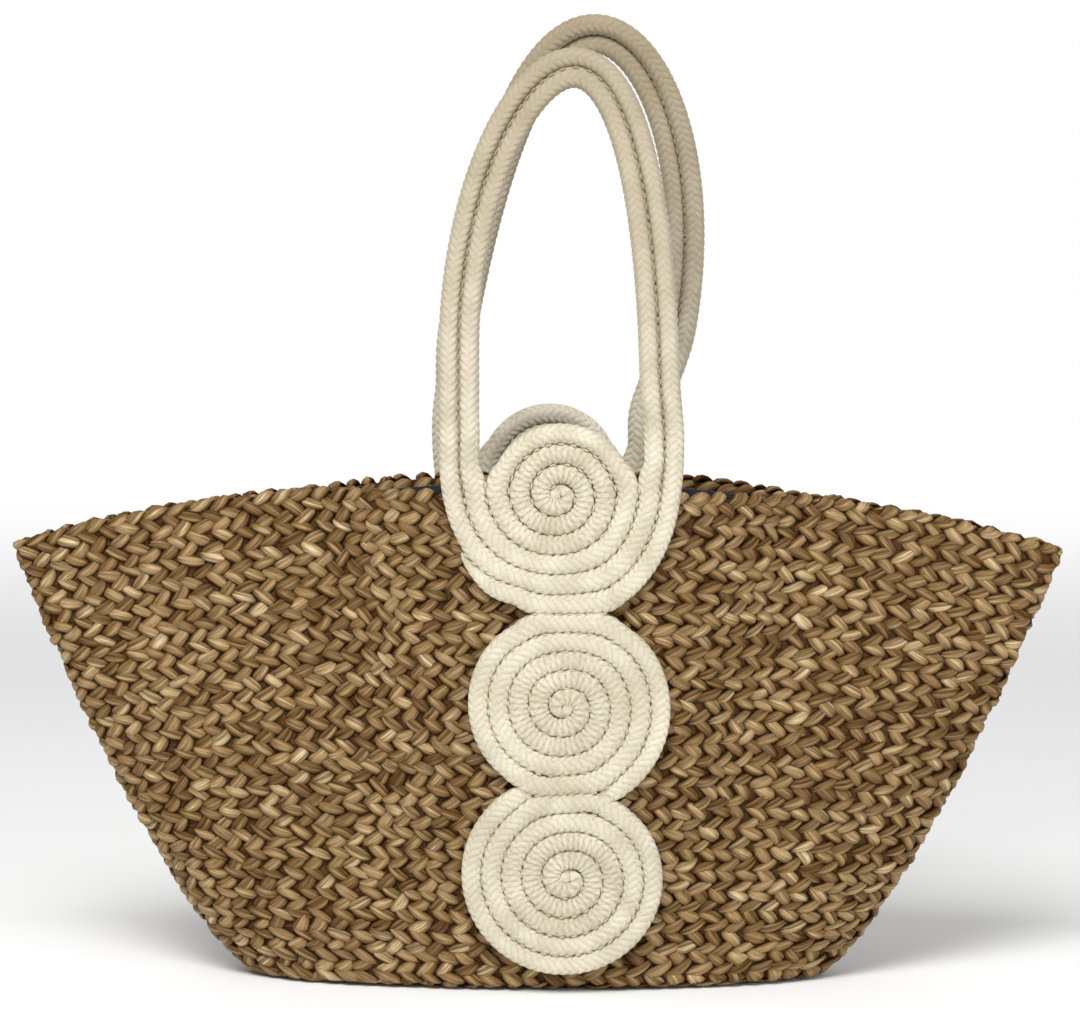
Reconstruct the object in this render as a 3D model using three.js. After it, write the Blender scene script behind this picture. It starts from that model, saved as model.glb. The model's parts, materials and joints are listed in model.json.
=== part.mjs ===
// A straw handbag: a braided straw shell whose flared mouth is pinched flat at its two corners, a
// fabric lining, and two standing handles of cotton rope that run down into rope medallions, three
// on the front and three on the rear.
// Millimetres. +Z is up, the front faces -Y, and the origin is the middle of the base on the floor.
import * as THREE from "three";
import { mergeVertices } from "three/addons/utils/BufferGeometryUtils.js";

// Straw shell
const baseLength = 272;
const baseDepth = 90;
const mouthLength = 516;
const mouthDepth = 96;
const mouthOpening = 248; // length over which the two walls stand apart
const mouthShift = 12; // the open part lies this far to the right of the middle
const pinchedDepth = 15; // outside depth where the two walls lie side by side
const rimHeight = 245; // at the middle of the mouth
const cornerDrop = 31; // the corners of the mouth lie this much lower
const bellySwell = 11; // each wall swells this far out at half height
const strawThickness = 4;
const baseThickness = 4;
const rimBraidHeight = 10.5;
const rimOverhang = 0.4; // the rim braid reaches this far past the lining on the inside
const pieceGap = 0.3; // between pieces that are sewn or set against each other

// Shape of the shell
const flarePower = 0.7;
const archPower = 2.5;
const cornerPower = 0.35;
const openingPower = 4;
const openingFall = 1.8;
const swellPower = 1.5;
const columnsPerSide = 24;
// The straw wall is one length of braid, sewn round and round. Here it is cut into stretches.
const wallStretches = ["foot_wall_braid", "lower_wall_braid", "upper_wall_braid", "top_wall_braid"];
const stretchBands = 2;
const wallBands = wallStretches.length * stretchBands;
const depthRounds = 8; // rounds in which a place on the shell is found

// Lining, slip pocket and magnetic snap
const liningThickness = 1;
const pocketWidth = 120;
const pocketHeight = 90;
const pocketDrop = 34; // from the rim down to the pocket's mouth
const pocketThickness = 1.2;
const pocketSlack = 1.6; // the pocket hangs this far off the lining
const pocketColumns = 7; // points across the pocket
const pocketRows = 5; // and up it
const patchWidth = 30;
const patchHeight = 26;
const patchCorner = 5;
const patchThickness = 1.2;
const patchSlack = 1.2; // a flat patch on the curved lining stands off by this
const snapDrop = 24; // from the rim down to the middle of the snap
const snapDiameter = 18;
const snapThickness = 3.6;
const snapPegDiameter = 6;
const snapPegLength = 1.6;
const snapPegClearance = 0.4;
const snapSegments = 18; // round the snap
const cornerSegments = 3; // round a corner of the patch

// Rope and medallions. Angles are in degrees, from the right round to the top, seen from outside.
const ropeDiameter = 9.8;
const turnGap = 1.2; // between the flats of two turns of a medallion
const crossGap = 0.6; // between the flats where two medallions are pressed together
const coilStartRadius = 5.2;
const topCoilTurns = 3.19;
const topCoilEnd = -148; // where the rope leaves the coil for the left leg
const topCoilPress = 0.04; // share by which the turns are drawn in under the coil
const topCoilRise = 33; // the top coil stands this far above the rim
const bottomCoilRise = 10; // the lowest turn runs this far above the floor
const middleCoilEnd = -45;
const middleCoilShift = 3.8; // to the right of the top coil
const neckPress = 0.08; // share by which the middle coil is pressed in at the neck
const waistPress = 0.04; // and where it meets the bottom coil
const bottomCoilEnd = 135;
const bottomCoilShift = 5.8;
const pressSpread = 60; // a pressed place reaches this far to both sides
const neckRopeJoin = 20; // the rope in the neck runs straight from here
const neckRopeEnd = -24; // to here, to the right of the top coil's middle
const leftLegGap = 5; // between the top coil and the left leg
const rightLegGap = 3.8;
const legLeadAngle = -25; // where the right leg's inner rope joins the winding
const wrapRiseAngle = -100; // where the wrap leaves the winding for the left leg
const wrapFullness = 1.35; // how far the wrap bows out on its way up to the left leg
const neckFullness = 1; // and the neck rope on its way down from the right leg

// Handles
const hingeRise = 17; // the handles bend at this height above the rim
const handleRopeGap = 0.4; // between the two ropes of a handle
const frontHandleHeight = 184.5; // from the bend up to the seam between the ropes
const rearHandleHeight = 200;
const frontWidestRise = 42; // from the bend up to the widest place
const rearWidestRise = 53;
const frontSwell = -1; // of each leg there, outward
const rearSwell = 5.4;
const frontLeanRight = 5; // of the top, seen from outside
const rearLeanRight = -20.7;
const frontBow = -16; // of the legs on the way up, to the right seen from outside
const rearBow = -20.7;
const frontLeanIn = 31; // of the top, over the mouth
const rearLeanIn = 26;
const frontCoilX = 9.2; // the top coil's middle, to the right of the bag's
const rearCoilX = 7.2;
const leanInPower = 1.6;
const stepsPerTurn = 24;
const coilSides = 6;
const handleRopeSides = 8;
const handleSteps = 22;
const leadSteps = 5;

const handleSides = [
  {
    name: "front",
    facing: -1,
    coilX: frontCoilX,
    handleHeight: frontHandleHeight,
    widestRise: frontWidestRise,
    swell: frontSwell,
    leanRight: frontLeanRight,
    bow: frontBow,
    leanIn: frontLeanIn,
  },
  {
    name: "rear",
    facing: 1,
    coilX: rearCoilX,
    handleHeight: rearHandleHeight,
    widestRise: rearWidestRise,
    swell: rearSwell,
    leanRight: rearLeanRight,
    bow: rearBow,
    leanIn: rearLeanIn,
  },
];

const ropeRadius = ropeDiameter / 2;
const ropeWidth = ropeDiameter * Math.cos(Math.PI / coilSides); // across the flats of its section
const ropePitch = ropeWidth + turnGap;
const handlePitch = ropeDiameter + handleRopeGap;
const hingeHeight = rimHeight + hingeRise;

const straw = new THREE.MeshStandardMaterial({ color: 0x886c4b, roughness: 0.85, metalness: 0 });
const strawRim = new THREE.MeshStandardMaterial({ color: 0x94764f, roughness: 0.85, metalness: 0 });
const rope = new THREE.MeshStandardMaterial({ color: 0xe3dac0, roughness: 0.9, metalness: 0 });
const liningCloth = new THREE.MeshStandardMaterial({ color: 0x262a33, roughness: 0.8, metalness: 0 });
const snapMetal = new THREE.MeshStandardMaterial({ color: 0xb9a777, roughness: 0.35, metalness: 1 });

const radians = THREE.MathUtils.degToRad;
const mix = THREE.MathUtils.lerp;

// Shell surface. across runs from -1 at the left corner to 1 at the right, level from 0 to 1.
function rimHeightAt(across) {
  return rimHeight - cornerDrop * Math.abs(across) ** archPower;
}

function halfLengthAt(level) {
  return mix(baseLength / 2, mouthLength / 2, level ** flarePower);
}

function shellDepth(level, across, inset) {
  const round = Math.sqrt(Math.max(0, 1 - across * across));
  const fromOpening = (across * mouthLength) / 2 - mouthShift;
  const nearness = Math.min(1, Math.abs(fromOpening) / (mouthOpening / 2));
  const open = ((mouthDepth - pinchedDepth) / 2) * (1 - nearness ** openingPower) ** openingFall;
  const low = (baseDepth / 2 - inset) * round;
  const high = (pinchedDepth / 2 - inset) * round ** cornerPower + open;
  const swell = bellySwell * (Math.sin(Math.PI * level) * round) ** swellPower;
  return mix(low, high, level) + swell;
}

// Half depth of the shell at a place on it, in front or behind; above the rim it stays the rim's.
function depthAt(x, z, inset) {
  let level = Math.min(1, z / rimHeight);
  let across = 0;
  for (let round = 0; round < depthRounds; round++) {
    across = THREE.MathUtils.clamp(x / (halfLengthAt(level) - inset), -1, 1);
    level = Math.min(1, z / rimHeightAt(across));
  }
  return shellDepth(level, across, inset);
}

// One closed ring of the shell, at a height that may change along it.
function shellRing(heightAt, inset) {
  const ring = [];
  for (let i = 0; i < 2 * columnsPerSide; i++) {
    const front = i < columnsPerSide;
    const step = (front ? i : i - columnsPerSide) / columnsPerSide;
    const even = 1 - 2 * step;
    const across = ((even + Math.cos(Math.PI * step)) / 2) * (front ? 1 : -1);
    const z = heightAt(across);
    const level = Math.min(1, z / rimHeightAt(across));
    const depth = shellDepth(level, across, inset);
    const x = (halfLengthAt(level) - inset) * across;
    ring.push(new THREE.Vector3(x, front ? -depth : depth, z));
  }
  return ring;
}

// Closed surfaces
function closedGeometry(corners, faces) {
  const geometry = new THREE.BufferGeometry().setFromPoints(corners);
  geometry.setIndex(faces.flat());
  return geometry;
}

function signedVolume(geometry) {
  const corner = [new THREE.Vector3(), new THREE.Vector3(), new THREE.Vector3()];
  const place = geometry.getAttribute("position");
  let sum = 0;
  for (let i = 0; i < geometry.index.count; i += 3) {
    corner.forEach((point, k) => point.fromBufferAttribute(place, geometry.index.getX(i + k)));
    sum += corner[0].dot(corner[1].clone().cross(corner[2])) / 6;
  }
  return sum;
}

// Skin over rings of equal count: joined end to end, or closed with a fan at each end.
function loft(rings, endless) {
  const count = rings[0].length;
  const corners = rings.flat();
  const faces = [];
  const bands = endless ? rings.length : rings.length - 1;
  for (let r = 0; r < bands; r++) {
    const low = r * count;
    const high = ((r + 1) % rings.length) * count;
    for (let i = 0; i < count; i++) {
      const next = (i + 1) % count;
      faces.push([low + i, low + next, high + next]);
      faces.push([low + i, high + next, high + i]);
    }
  }
  if (endless) return closedGeometry(corners, faces);
  for (const end of [0, rings.length - 1]) {
    const middle = corners.length;
    const sum = rings[end].reduce((total, point) => total.add(point), new THREE.Vector3());
    corners.push(sum.divideScalar(count));
    for (let i = 0; i < count; i++) {
      const here = end * count + i;
      const next = end * count + ((i + 1) % count);
      faces.push(end ? [middle, here, next] : [middle, next, here]);
    }
  }
  return closedGeometry(corners, faces);
}

// A thin slab between two grids of points, rows by columns.
function slab(under, over) {
  const rows = under.length;
  const columns = under[0].length;
  const corners = [...under.flat(), ...over.flat()];
  const at = (layer, row, column) => (layer * rows + row) * columns + column;
  const faces = [];
  const quad = (a, b, c, d) => faces.push([a, b, c], [a, c, d]);
  for (let r = 0; r + 1 < rows; r++) {
    for (let c = 0; c + 1 < columns; c++) {
      quad(at(0, r, c), at(0, r + 1, c), at(0, r + 1, c + 1), at(0, r, c + 1));
      quad(at(1, r, c), at(1, r, c + 1), at(1, r + 1, c + 1), at(1, r + 1, c));
    }
    quad(at(0, r, 0), at(1, r, 0), at(1, r + 1, 0), at(0, r + 1, 0));
    const last = columns - 1;
    quad(at(0, r, last), at(0, r + 1, last), at(1, r + 1, last), at(1, r, last));
  }
  for (let c = 0; c + 1 < columns; c++) {
    quad(at(0, 0, c), at(0, 0, c + 1), at(1, 0, c + 1), at(1, 0, c));
    const last = rows - 1;
    quad(at(0, last, c), at(1, last, c), at(1, last, c + 1), at(0, last, c + 1));
  }
  return closedGeometry(corners, faces);
}

function addPiece(group, name, geometry, material) {
  geometry.deleteAttribute("normal");
  geometry.deleteAttribute("uv");
  const merged = mergeVertices(geometry);
  if (signedVolume(merged) < 0) merged.index.array.reverse();
  merged.computeVertexNormals();
  const mesh = new THREE.Mesh(merged, material.clone());
  mesh.name = name;
  group.add(mesh);
  return mesh;
}

// Straw shell and lining
const seatHeight = baseThickness + pieceGap;
const wallTop = (across) => rimHeightAt(across) - rimBraidHeight - pieceGap;
const liningInset = strawThickness + pieceGap;
const insideInset = liningInset + liningThickness;

// A stretch of the wall stops short of a cut by half the gap there; the foot and the top are whole.
function roomAtCut(band, lowest, highest) {
  if (band === lowest && lowest > 0) return pieceGap / 2;
  if (band === highest && highest < wallBands) return -pieceGap / 2;
  return 0;
}

// A wall runs up its first skin and down its second, over some of the bands. Two walls side by side
// run the same way where they face each other, so that their facets match.
function addWall(group, name, insets, material, lowest = 0, highest = wallBands) {
  const skin = (inset) =>
    Array.from({ length: highest - lowest + 1 }, (_, step) => {
      const band = lowest + step;
      const room = roomAtCut(band, lowest, highest);
      const heightAt = (across) => mix(seatHeight, wallTop(across), band / wallBands) + room;
      return shellRing(heightAt, inset);
    });
  const rings = [...skin(insets[0]), ...skin(insets[1]).reverse()];
  addPiece(group, name, loft(rings, true), material);
}

// The base is one oval coil of braid. It widens from the floor up, as the wall above it does.
function addBase(group) {
  const floor = shellRing(() => 0, 0);
  const top = shellRing(() => baseThickness, 0);
  addPiece(group, "base_braid", loft([floor, top], false), straw);
}

function addRim(group) {
  const inner = insideInset + rimOverhang;
  const foot = (across) => rimHeightAt(across) - rimBraidHeight;
  const footInsets = [0, strawThickness, liningInset, insideInset, inner];
  const rings = [
    ...footInsets.map((inset) => shellRing(foot, inset)),
    shellRing(rimHeightAt, inner),
    shellRing(rimHeightAt, 0),
  ];
  addPiece(group, "rim_braid", loft(rings, true), strawRim);
}

function addLiningBase(group) {
  const inset = insideInset + pieceGap;
  const under = shellRing(() => seatHeight, inset);
  const over = under.map((point) => point.clone().setZ(seatHeight + liningThickness));
  addPiece(group, "lining_base", loft([under, over], false), liningCloth);
}

// The slip pocket lies against the lining of the rear wall.
function addPocket(group) {
  const grid = (inset) => {
    const sheet = [];
    for (let r = 0; r < pocketRows; r++) {
      const z = rimHeight - pocketDrop - pocketHeight * (1 - r / (pocketRows - 1));
      const row = [];
      for (let c = 0; c < pocketColumns; c++) {
        const x = mouthShift + pocketWidth * (c / (pocketColumns - 1) - 0.5);
        row.push(new THREE.Vector3(x, depthAt(x, z, 0) - inset, z));
      }
      sheet.push(row);
    }
    return sheet;
  };
  const back = insideInset + pocketSlack;
  addPiece(group, "slip_pocket", slab(grid(back + pocketThickness), grid(back)), liningCloth);
}

// The snap: a patch of lining cloth on each wall, one with a magnet cup and one with its peg.
function addSnap(group) {
  const height = rimHeight - snapDrop;
  const outline = new THREE.Shape();
  const w = patchWidth / 2;
  const h = patchHeight / 2;
  outline.moveTo(patchCorner - w, -h);
  outline.lineTo(w - patchCorner, -h);
  outline.absarc(w - patchCorner, patchCorner - h, patchCorner, -Math.PI / 2, 0);
  outline.absarc(w - patchCorner, h - patchCorner, patchCorner, 0, Math.PI / 2);
  outline.absarc(patchCorner - w, h - patchCorner, patchCorner, Math.PI / 2, Math.PI);
  outline.absarc(patchCorner - w, patchCorner - h, patchCorner, Math.PI, 1.5 * Math.PI);
  const corners = [w - patchCorner / 2, patchCorner / 2 - w].flatMap((x) =>
    [h, -h].map((z) => depthAt(mouthShift + x, height + z, insideInset)),
  );
  const back = Math.min(...corners) - patchSlack;
  const discRadius = snapDiameter / 2;
  const pegRadius = snapPegDiameter / 2;
  const cupRadius = pegRadius + snapPegClearance;
  const cupDepth = snapPegLength + snapPegClearance;
  const cup = [
    [0, 0],
    [discRadius, 0],
    [discRadius, snapThickness],
    [cupRadius, snapThickness],
    [cupRadius, snapThickness - cupDepth],
    [0, snapThickness - cupDepth],
  ];
  const peg = [
    [0, 0],
    [discRadius, 0],
    [discRadius, snapThickness],
    [pegRadius, snapThickness],
    [pegRadius, snapThickness + snapPegLength],
    [0, snapThickness + snapPegLength],
  ];
  for (const side of handleSides) {
    const inward = -side.facing;
    const patch = new THREE.ExtrudeGeometry(outline, {
      depth: patchThickness,
      bevelEnabled: false,
      curveSegments: cornerSegments,
    });
    patch.rotateX((inward * -Math.PI) / 2);
    const patchName = `snap_patch_${side.name}`;
    const patchMesh = addPiece(group, patchName, patch, liningCloth);
    patchMesh.position.set(mouthShift, side.facing * back, height);
    const profile = side.name === "front" ? cup : peg;
    const turned = profile.map(([r, y]) => new THREE.Vector2(r, y));
    const disc = new THREE.LatheGeometry(turned, snapSegments);
    if (inward < 0) disc.rotateX(Math.PI);
    const discName = side.name === "front" ? "snap_cup" : "snap_peg";
    const discMesh = addPiece(group, discName, disc, snapMetal);
    const face = back - patchThickness - pieceGap;
    discMesh.position.set(mouthShift, side.facing * face, height);
  }
}

// Rope. A path lies flat in the medallion's plane: u to the right seen from outside, and z up.
function ropeTube(path, depths, side, sides, turn) {
  const outward = new THREE.Vector3(0, side.facing, 0);
  const points = path.map(
    ([u, z], i) => new THREE.Vector3(side.coilX - side.facing * u, side.facing * depths[i], z),
  );
  const last = points.length - 1;
  const rings = points.map((point, i) => {
    const ahead = points[Math.min(last, i + 1)];
    const behind = points[Math.max(0, i - 1)];
    const along = ahead.clone().sub(behind).normalize();
    const up = outward.clone().addScaledVector(along, -outward.dot(along)).normalize();
    const across = along.clone().cross(up);
    const ring = [];
    for (let k = 0; k < sides; k++) {
      const angle = (2 * Math.PI * (k + turn)) / sides;
      const spoke = up.clone().multiplyScalar(Math.cos(angle));
      spoke.addScaledVector(across, Math.sin(angle));
      ring.push(spoke.multiplyScalar(ropeRadius).add(point));
    }
    return ring;
  });
  return { geometry: loft(rings, false), rings };
}

// A rope that lies on the shell, with a corner of its section towards the straw.
function laidRope(path, side) {
  const depths = path.map(([u, z]) => {
    const x = side.coilX - side.facing * u;
    return depthAt(x, z, 0) + pieceGap + ropeRadius;
  });
  return ropeTube(path, depths, side, coilSides, 0);
}

// Least distance between points of a coil that are over half a turn apart along it.
function leastGap(rings) {
  let least = Infinity;
  const apart = stepsPerTurn / 2 + 1;
  for (let i = 0; i < rings.length; i++) {
    for (let j = i + apart; j < rings.length; j++) {
      for (const a of rings[i]) {
        for (const b of rings[j]) least = Math.min(least, a.distanceTo(b));
      }
    }
  }
  return least;
}

// Winding of a medallion. It runs clockwise from the middle out, a pitch wider at each turn, and is
// drawn in by a share of its radius round each pressed place, given as [direction, share].
function makeWinding(u, z, turns, endDegrees, pressed) {
  const end = radians(endDegrees);
  const endRadius = coilStartRadius + ropePitch * turns;
  const pressAt = (angle) => {
    const drawn = pressed.map(([direction, share]) => {
      const off = Math.acos(Math.cos(angle - radians(direction))) / radians(pressSpread);
      return off < 1 ? (share * (1 + Math.cos(Math.PI * off))) / 2 : 0;
    });
    return 1 - drawn.reduce((sum, share) => sum + share, 0);
  };
  const radiusAt = (angle, extra = 0) => {
    const round = endRadius - (ropePitch * (angle - end)) / (2 * Math.PI);
    return (round + extra) * pressAt(angle);
  };
  const pointAt = (angle, extra) => {
    const radius = radiusAt(angle, extra);
    return [u + radius * Math.cos(angle), z + radius * Math.sin(angle)];
  };
  const arc = (from, to, extra) => {
    const steps = Math.ceil((Math.abs(from - to) / (2 * Math.PI)) * stepsPerTurn);
    return Array.from({ length: steps + 1 }, (_, i) => pointAt(mix(from, to, i / steps), extra));
  };
  const start = end + turns * 2 * Math.PI;
  return { u, z, end, start, radiusAt, pointAt, arc };
}

// Outermost radius of a winding in a direction given in degrees, with room for more rope round it.
function reach(winding, degrees, extra = 0) {
  const turn = 2 * Math.PI;
  const past = (((radians(degrees) - winding.end) % turn) + turn) % turn;
  return winding.radiusAt(winding.end + past, extra);
}

// Heading of a clockwise winding at an angle.
const headingAt = (angle) => [Math.sin(angle), -Math.cos(angle)];

function runOn(path, heading, length) {
  const [u, z] = path[path.length - 1];
  return [...path, [u + heading[0] * length, z + heading[1] * length]];
}

// Points of a smooth curve between two places with given headings, both ends left out.
function easeBetween(from, fromHeading, to, toHeading, fullness = 1) {
  const pull = Math.hypot(to[0] - from[0], to[1] - from[1]) * fullness;
  const points = [];
  for (let i = 1; i < leadSteps; i++) {
    const s = i / leadSteps;
    const a = 2 * s ** 3 - 3 * s ** 2 + 1;
    const b = (s ** 3 - 2 * s ** 2 + s) * pull;
    const c = 3 * s ** 2 - 2 * s ** 3;
    const d = (s ** 3 - s ** 2) * pull;
    points.push(
      [0, 1].map((k) => a * from[k] + b * fromHeading[k] + c * to[k] + d * toHeading[k]),
    );
  }
  return points;
}

// Medallions of one side: the top coil, the two ropes that pass round under it, and two more.
function addMedallions(group, side) {
  const placed = (u, z, coil) => makeWinding(u, z, coil.turns, coil.end, coil.pressed);
  const sized = (coil, turns) => placed(0, 0, { ...coil, turns });
  const top = { turns: topCoilTurns, end: topCoilEnd, pressed: [[-90, topCoilPress]] };
  const middle = {
    end: middleCoilEnd,
    pressed: [
      [90, neckPress],
      [-90, waistPress],
    ],
  };
  const bottom = { end: bottomCoilEnd, pressed: [[90, waistPress]] };
  const step = ropeWidth + crossGap;
  const topZ = rimHeight + topCoilRise - reach(placed(0, 0, top), 90) - ropeRadius;
  const topCoil = placed(0, topZ, top);
  const neckZ = topZ - reach(topCoil, -90, 2 * ropePitch);

  // The two lower coils have as many turns as fill the wall down to the lowest turn of all.
  const heightOf = (turns) => {
    const both = [sized(middle, turns), sized(bottom, turns)];
    const across = both.map((winding) => reach(winding, 90) + reach(winding, -90));
    return across[0] + across[1] + 2 * step;
  };
  const toFill = neckZ - bottomCoilRise - ropeRadius;
  const lowerTurns = (toFill - heightOf(0)) / (heightOf(1) - heightOf(0));
  middle.turns = lowerTurns;
  bottom.turns = lowerTurns;
  const middleZ = neckZ - step - reach(sized(middle, lowerTurns), 90);
  const middleCoil = placed(middleCoilShift, middleZ, middle);
  const bottomZ = middleZ - reach(middleCoil, -90) - step - reach(sized(bottom, lowerTurns), 90);
  const bottomCoil = placed(bottomCoilShift, bottomZ, bottom);
  console.log(`${side.name} lower coils: ${lowerTurns.toFixed(3)} turns each`);

  const leftInner = -reach(topCoil, 180) - ropePitch - leftLegGap;
  const rightInner = reach(topCoil, 0) + ropePitch + rightLegGap;
  const legs = {
    left: { inner: leftInner, outer: leftInner - handlePitch },
    right: { inner: rightInner, outer: rightInner + handlePitch },
  };
  const cut = hingeHeight;
  const lead = cut - ropeDiameter;
  const up = [0, 1];
  const down = [0, -1];
  const left = [-1, 0];

  const riseFrom = (winding, angle, extra, u, fullness) => {
    const from = winding.pointAt(angle, extra);
    const curve = easeBetween(from, headingAt(angle), [u, lead], up, fullness);
    return [...curve, [u, lead], [u, cut]];
  };
  const dropTo = (u, to, heading, fullness) => [
    [u, cut],
    [u, lead],
    ...easeBetween([u, lead], down, to, heading, fullness),
  ];

  const topPath = [
    ...topCoil.arc(topCoil.start, topCoil.end, 0),
    ...riseFrom(topCoil, topCoil.end, 0, legs.left.inner),
  ];
  const wrapFrom = radians(legLeadAngle);
  const wrapTo = radians(wrapRiseAngle);
  const wrapJoin = topCoil.pointAt(wrapFrom, ropePitch);
  const wrapPath = [
    ...dropTo(legs.right.inner, wrapJoin, headingAt(wrapFrom)),
    ...topCoil.arc(wrapFrom, wrapTo, ropePitch),
    ...riseFrom(topCoil, wrapTo, ropePitch, legs.left.outer, wrapFullness),
  ];
  const neckPath = [
    ...dropTo(legs.right.outer, [neckRopeJoin, neckZ], left, neckFullness),
    [neckRopeJoin, neckZ],
    [(neckRopeJoin + neckRopeEnd) / 2, neckZ],
    [neckRopeEnd, neckZ],
  ];
  const coilPath = (winding) =>
    runOn(winding.arc(winding.start, winding.end, 0), headingAt(winding.end), ropeDiameter);

  const ropes = {
    top_coil: topPath,
    leg_wrap: wrapPath,
    neck_rope: neckPath,
    middle_coil: coilPath(middleCoil),
    bottom_coil: coilPath(bottomCoil),
  };
  for (const [piece, path] of Object.entries(ropes)) {
    const name = `${side.name}_${piece}`;
    const { geometry, rings } = laidRope(path, side);
    addPiece(group, name, geometry, rope);
    if (piece.endsWith("coil")) {
      console.log(`${name}: least gap to itself ${leastGap(rings).toFixed(2)} mm`);
    }
  }
  return legs;
}

// A handle: two ropes side by side, up one leg, over the top and down the other.
function addHandle(group, side, legs) {
  const foot = hingeHeight + pieceGap;
  const lead = foot + ropeDiameter;
  const widest = hingeHeight + side.widestRise;
  const apex = hingeHeight + side.handleHeight;
  const seam = {
    left: (legs.left.inner + legs.left.outer) / 2,
    right: (legs.right.inner + legs.right.outer) / 2,
  };
  const middle = (seam.left + seam.right) / 2;
  const rootHalf = (seam.right - seam.left) / 2;
  const fraction = (z) => Math.max(0, (z - lead) / (apex - lead));
  const shift = (z) => {
    const f = fraction(z);
    return side.leanRight * f + side.bow * f * (1 - f);
  };
  const legHalf = (z) => rootHalf + side.swell * THREE.MathUtils.smoothstep(z, lead, widest);
  const legHeights = [foot, lead, mix(lead, widest, 1 / 3), mix(lead, widest, 2 / 3)];
  const left = legHeights.map((z) => [middle + shift(z) - legHalf(z), z]);
  const right = legHeights.map((z) => [middle + shift(z) + legHalf(z), z]).reverse();
  const arch = [];
  for (let i = 0; i <= handleSteps; i++) {
    const angle = Math.PI * (1 - i / handleSteps);
    const z = widest + (apex - widest) * Math.sin(angle);
    arch.push([middle + shift(z) + (rootHalf + side.swell) * Math.cos(angle), z]);
  }
  const line = [...left, ...arch, ...right];

  let deepest = 0;
  for (const [lane, offset] of [
    ["inner", -handlePitch / 2],
    ["outer", handlePitch / 2],
  ]) {
    const path = line.map(([u, z], i) => {
      if (i < 2) return [u - offset, z];
      if (i > line.length - 3) return [u + offset, z];
      const du = line[i + 1][0] - line[i - 1][0];
      const dz = line[i + 1][1] - line[i - 1][1];
      const length = Math.hypot(du, dz);
      return [u - (offset * dz) / length, z + (offset * du) / length];
    });
    const depthOf = (u) => depthAt(side.coilX - side.facing * u, rimHeight, 0) + pieceGap + ropeRadius;
    const first = path[0][0];
    const last = path[path.length - 1][0];
    const depths = path.map(([u, z]) => {
      const over = THREE.MathUtils.clamp((u - first) / (last - first), 0, 1);
      const root = mix(depthOf(first), depthOf(last), over);
      return root - side.leanIn * fraction(z) ** leanInPower;
    });
    deepest = Math.max(deepest, depthOf(first), depthOf(last));
    const { geometry } = ropeTube(path, depths, side, handleRopeSides, 0.5);
    addPiece(group, `${side.name}_handle_${lane}_rope`, geometry, rope);
  }
  const axisY = side.facing * (deepest + ropeRadius);
  console.log(`${side.name} handle bends at y ${axisY.toFixed(3)}, z ${hingeHeight.toFixed(3)}`);
}

const bag = new THREE.Group();
addBase(bag);
wallStretches.forEach((name, i) => {
  addWall(bag, name, [0, strawThickness], straw, i * stretchBands, (i + 1) * stretchBands);
});
addRim(bag);
addWall(bag, "lining_wall", [insideInset, liningInset], liningCloth);
addLiningBase(bag);
addPocket(bag);
addSnap(bag);
for (const side of handleSides) {
  const legs = addMedallions(bag, side);
  addHandle(bag, side, legs);
}

export default bag;
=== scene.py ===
# A straw handbag: a braided straw shell with a flared mouth, a dark cloth lining with a pocket and a
# snap, two standing handles of paired cotton rope, and three rope medallions on each face.
# Metres. The front faces -Y and the bag stands on the floor at z 0.
import json
import math

import bpy
import numpy as np
from mathutils import Matrix, Vector

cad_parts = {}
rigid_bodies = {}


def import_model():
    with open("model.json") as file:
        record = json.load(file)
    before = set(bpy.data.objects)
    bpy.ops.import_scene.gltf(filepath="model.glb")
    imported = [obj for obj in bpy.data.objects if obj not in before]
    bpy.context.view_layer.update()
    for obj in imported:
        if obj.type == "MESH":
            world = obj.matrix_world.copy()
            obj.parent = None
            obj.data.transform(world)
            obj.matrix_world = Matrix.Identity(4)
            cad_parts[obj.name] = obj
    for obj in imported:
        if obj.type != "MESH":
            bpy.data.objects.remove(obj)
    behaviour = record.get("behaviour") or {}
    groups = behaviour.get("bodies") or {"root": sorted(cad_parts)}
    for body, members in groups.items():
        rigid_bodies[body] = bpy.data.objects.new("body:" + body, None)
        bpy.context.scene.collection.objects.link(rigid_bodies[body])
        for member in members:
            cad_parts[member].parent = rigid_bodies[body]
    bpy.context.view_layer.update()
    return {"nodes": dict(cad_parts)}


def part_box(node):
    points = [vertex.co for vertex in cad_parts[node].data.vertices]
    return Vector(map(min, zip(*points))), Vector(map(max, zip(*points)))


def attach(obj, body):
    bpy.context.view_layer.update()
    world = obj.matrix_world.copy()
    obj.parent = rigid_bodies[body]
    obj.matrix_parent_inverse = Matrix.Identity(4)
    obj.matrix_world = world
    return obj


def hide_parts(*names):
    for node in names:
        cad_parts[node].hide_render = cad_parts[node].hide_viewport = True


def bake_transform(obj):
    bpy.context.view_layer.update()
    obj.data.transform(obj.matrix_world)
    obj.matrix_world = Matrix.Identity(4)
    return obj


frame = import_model()

# Camera: it stands 2.4 m in front of the bag, half a metre up, with a long lens tilted down to it.
# The photograph is turned a little, so that the right end of the mouth lies lower than the left.
camera_place = Vector((0.0, -2.4, 0.498))
camera_lens = 164.5
camera_tilt = math.radians(6.457)
camera_roll = math.radians(0.35)
camera_turn = math.radians(-0.02)
camera_data = bpy.data.cameras.new("camera")
camera_data.sensor_width = 36
camera_data.lens = camera_lens
camera = bpy.data.objects.new("camera", camera_data)
bpy.context.scene.collection.objects.link(camera)
camera.matrix_world = (
    Matrix.Translation(camera_place)
    @ Matrix.Rotation(camera_turn, 4, "Z")
    @ Matrix.Rotation(math.pi / 2 - camera_tilt, 4, "X")
    @ Matrix.Rotation(camera_roll, 4, "Z")
)
bpy.context.scene.camera = camera
bpy.context.scene.view_settings.view_transform = "Standard"


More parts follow.
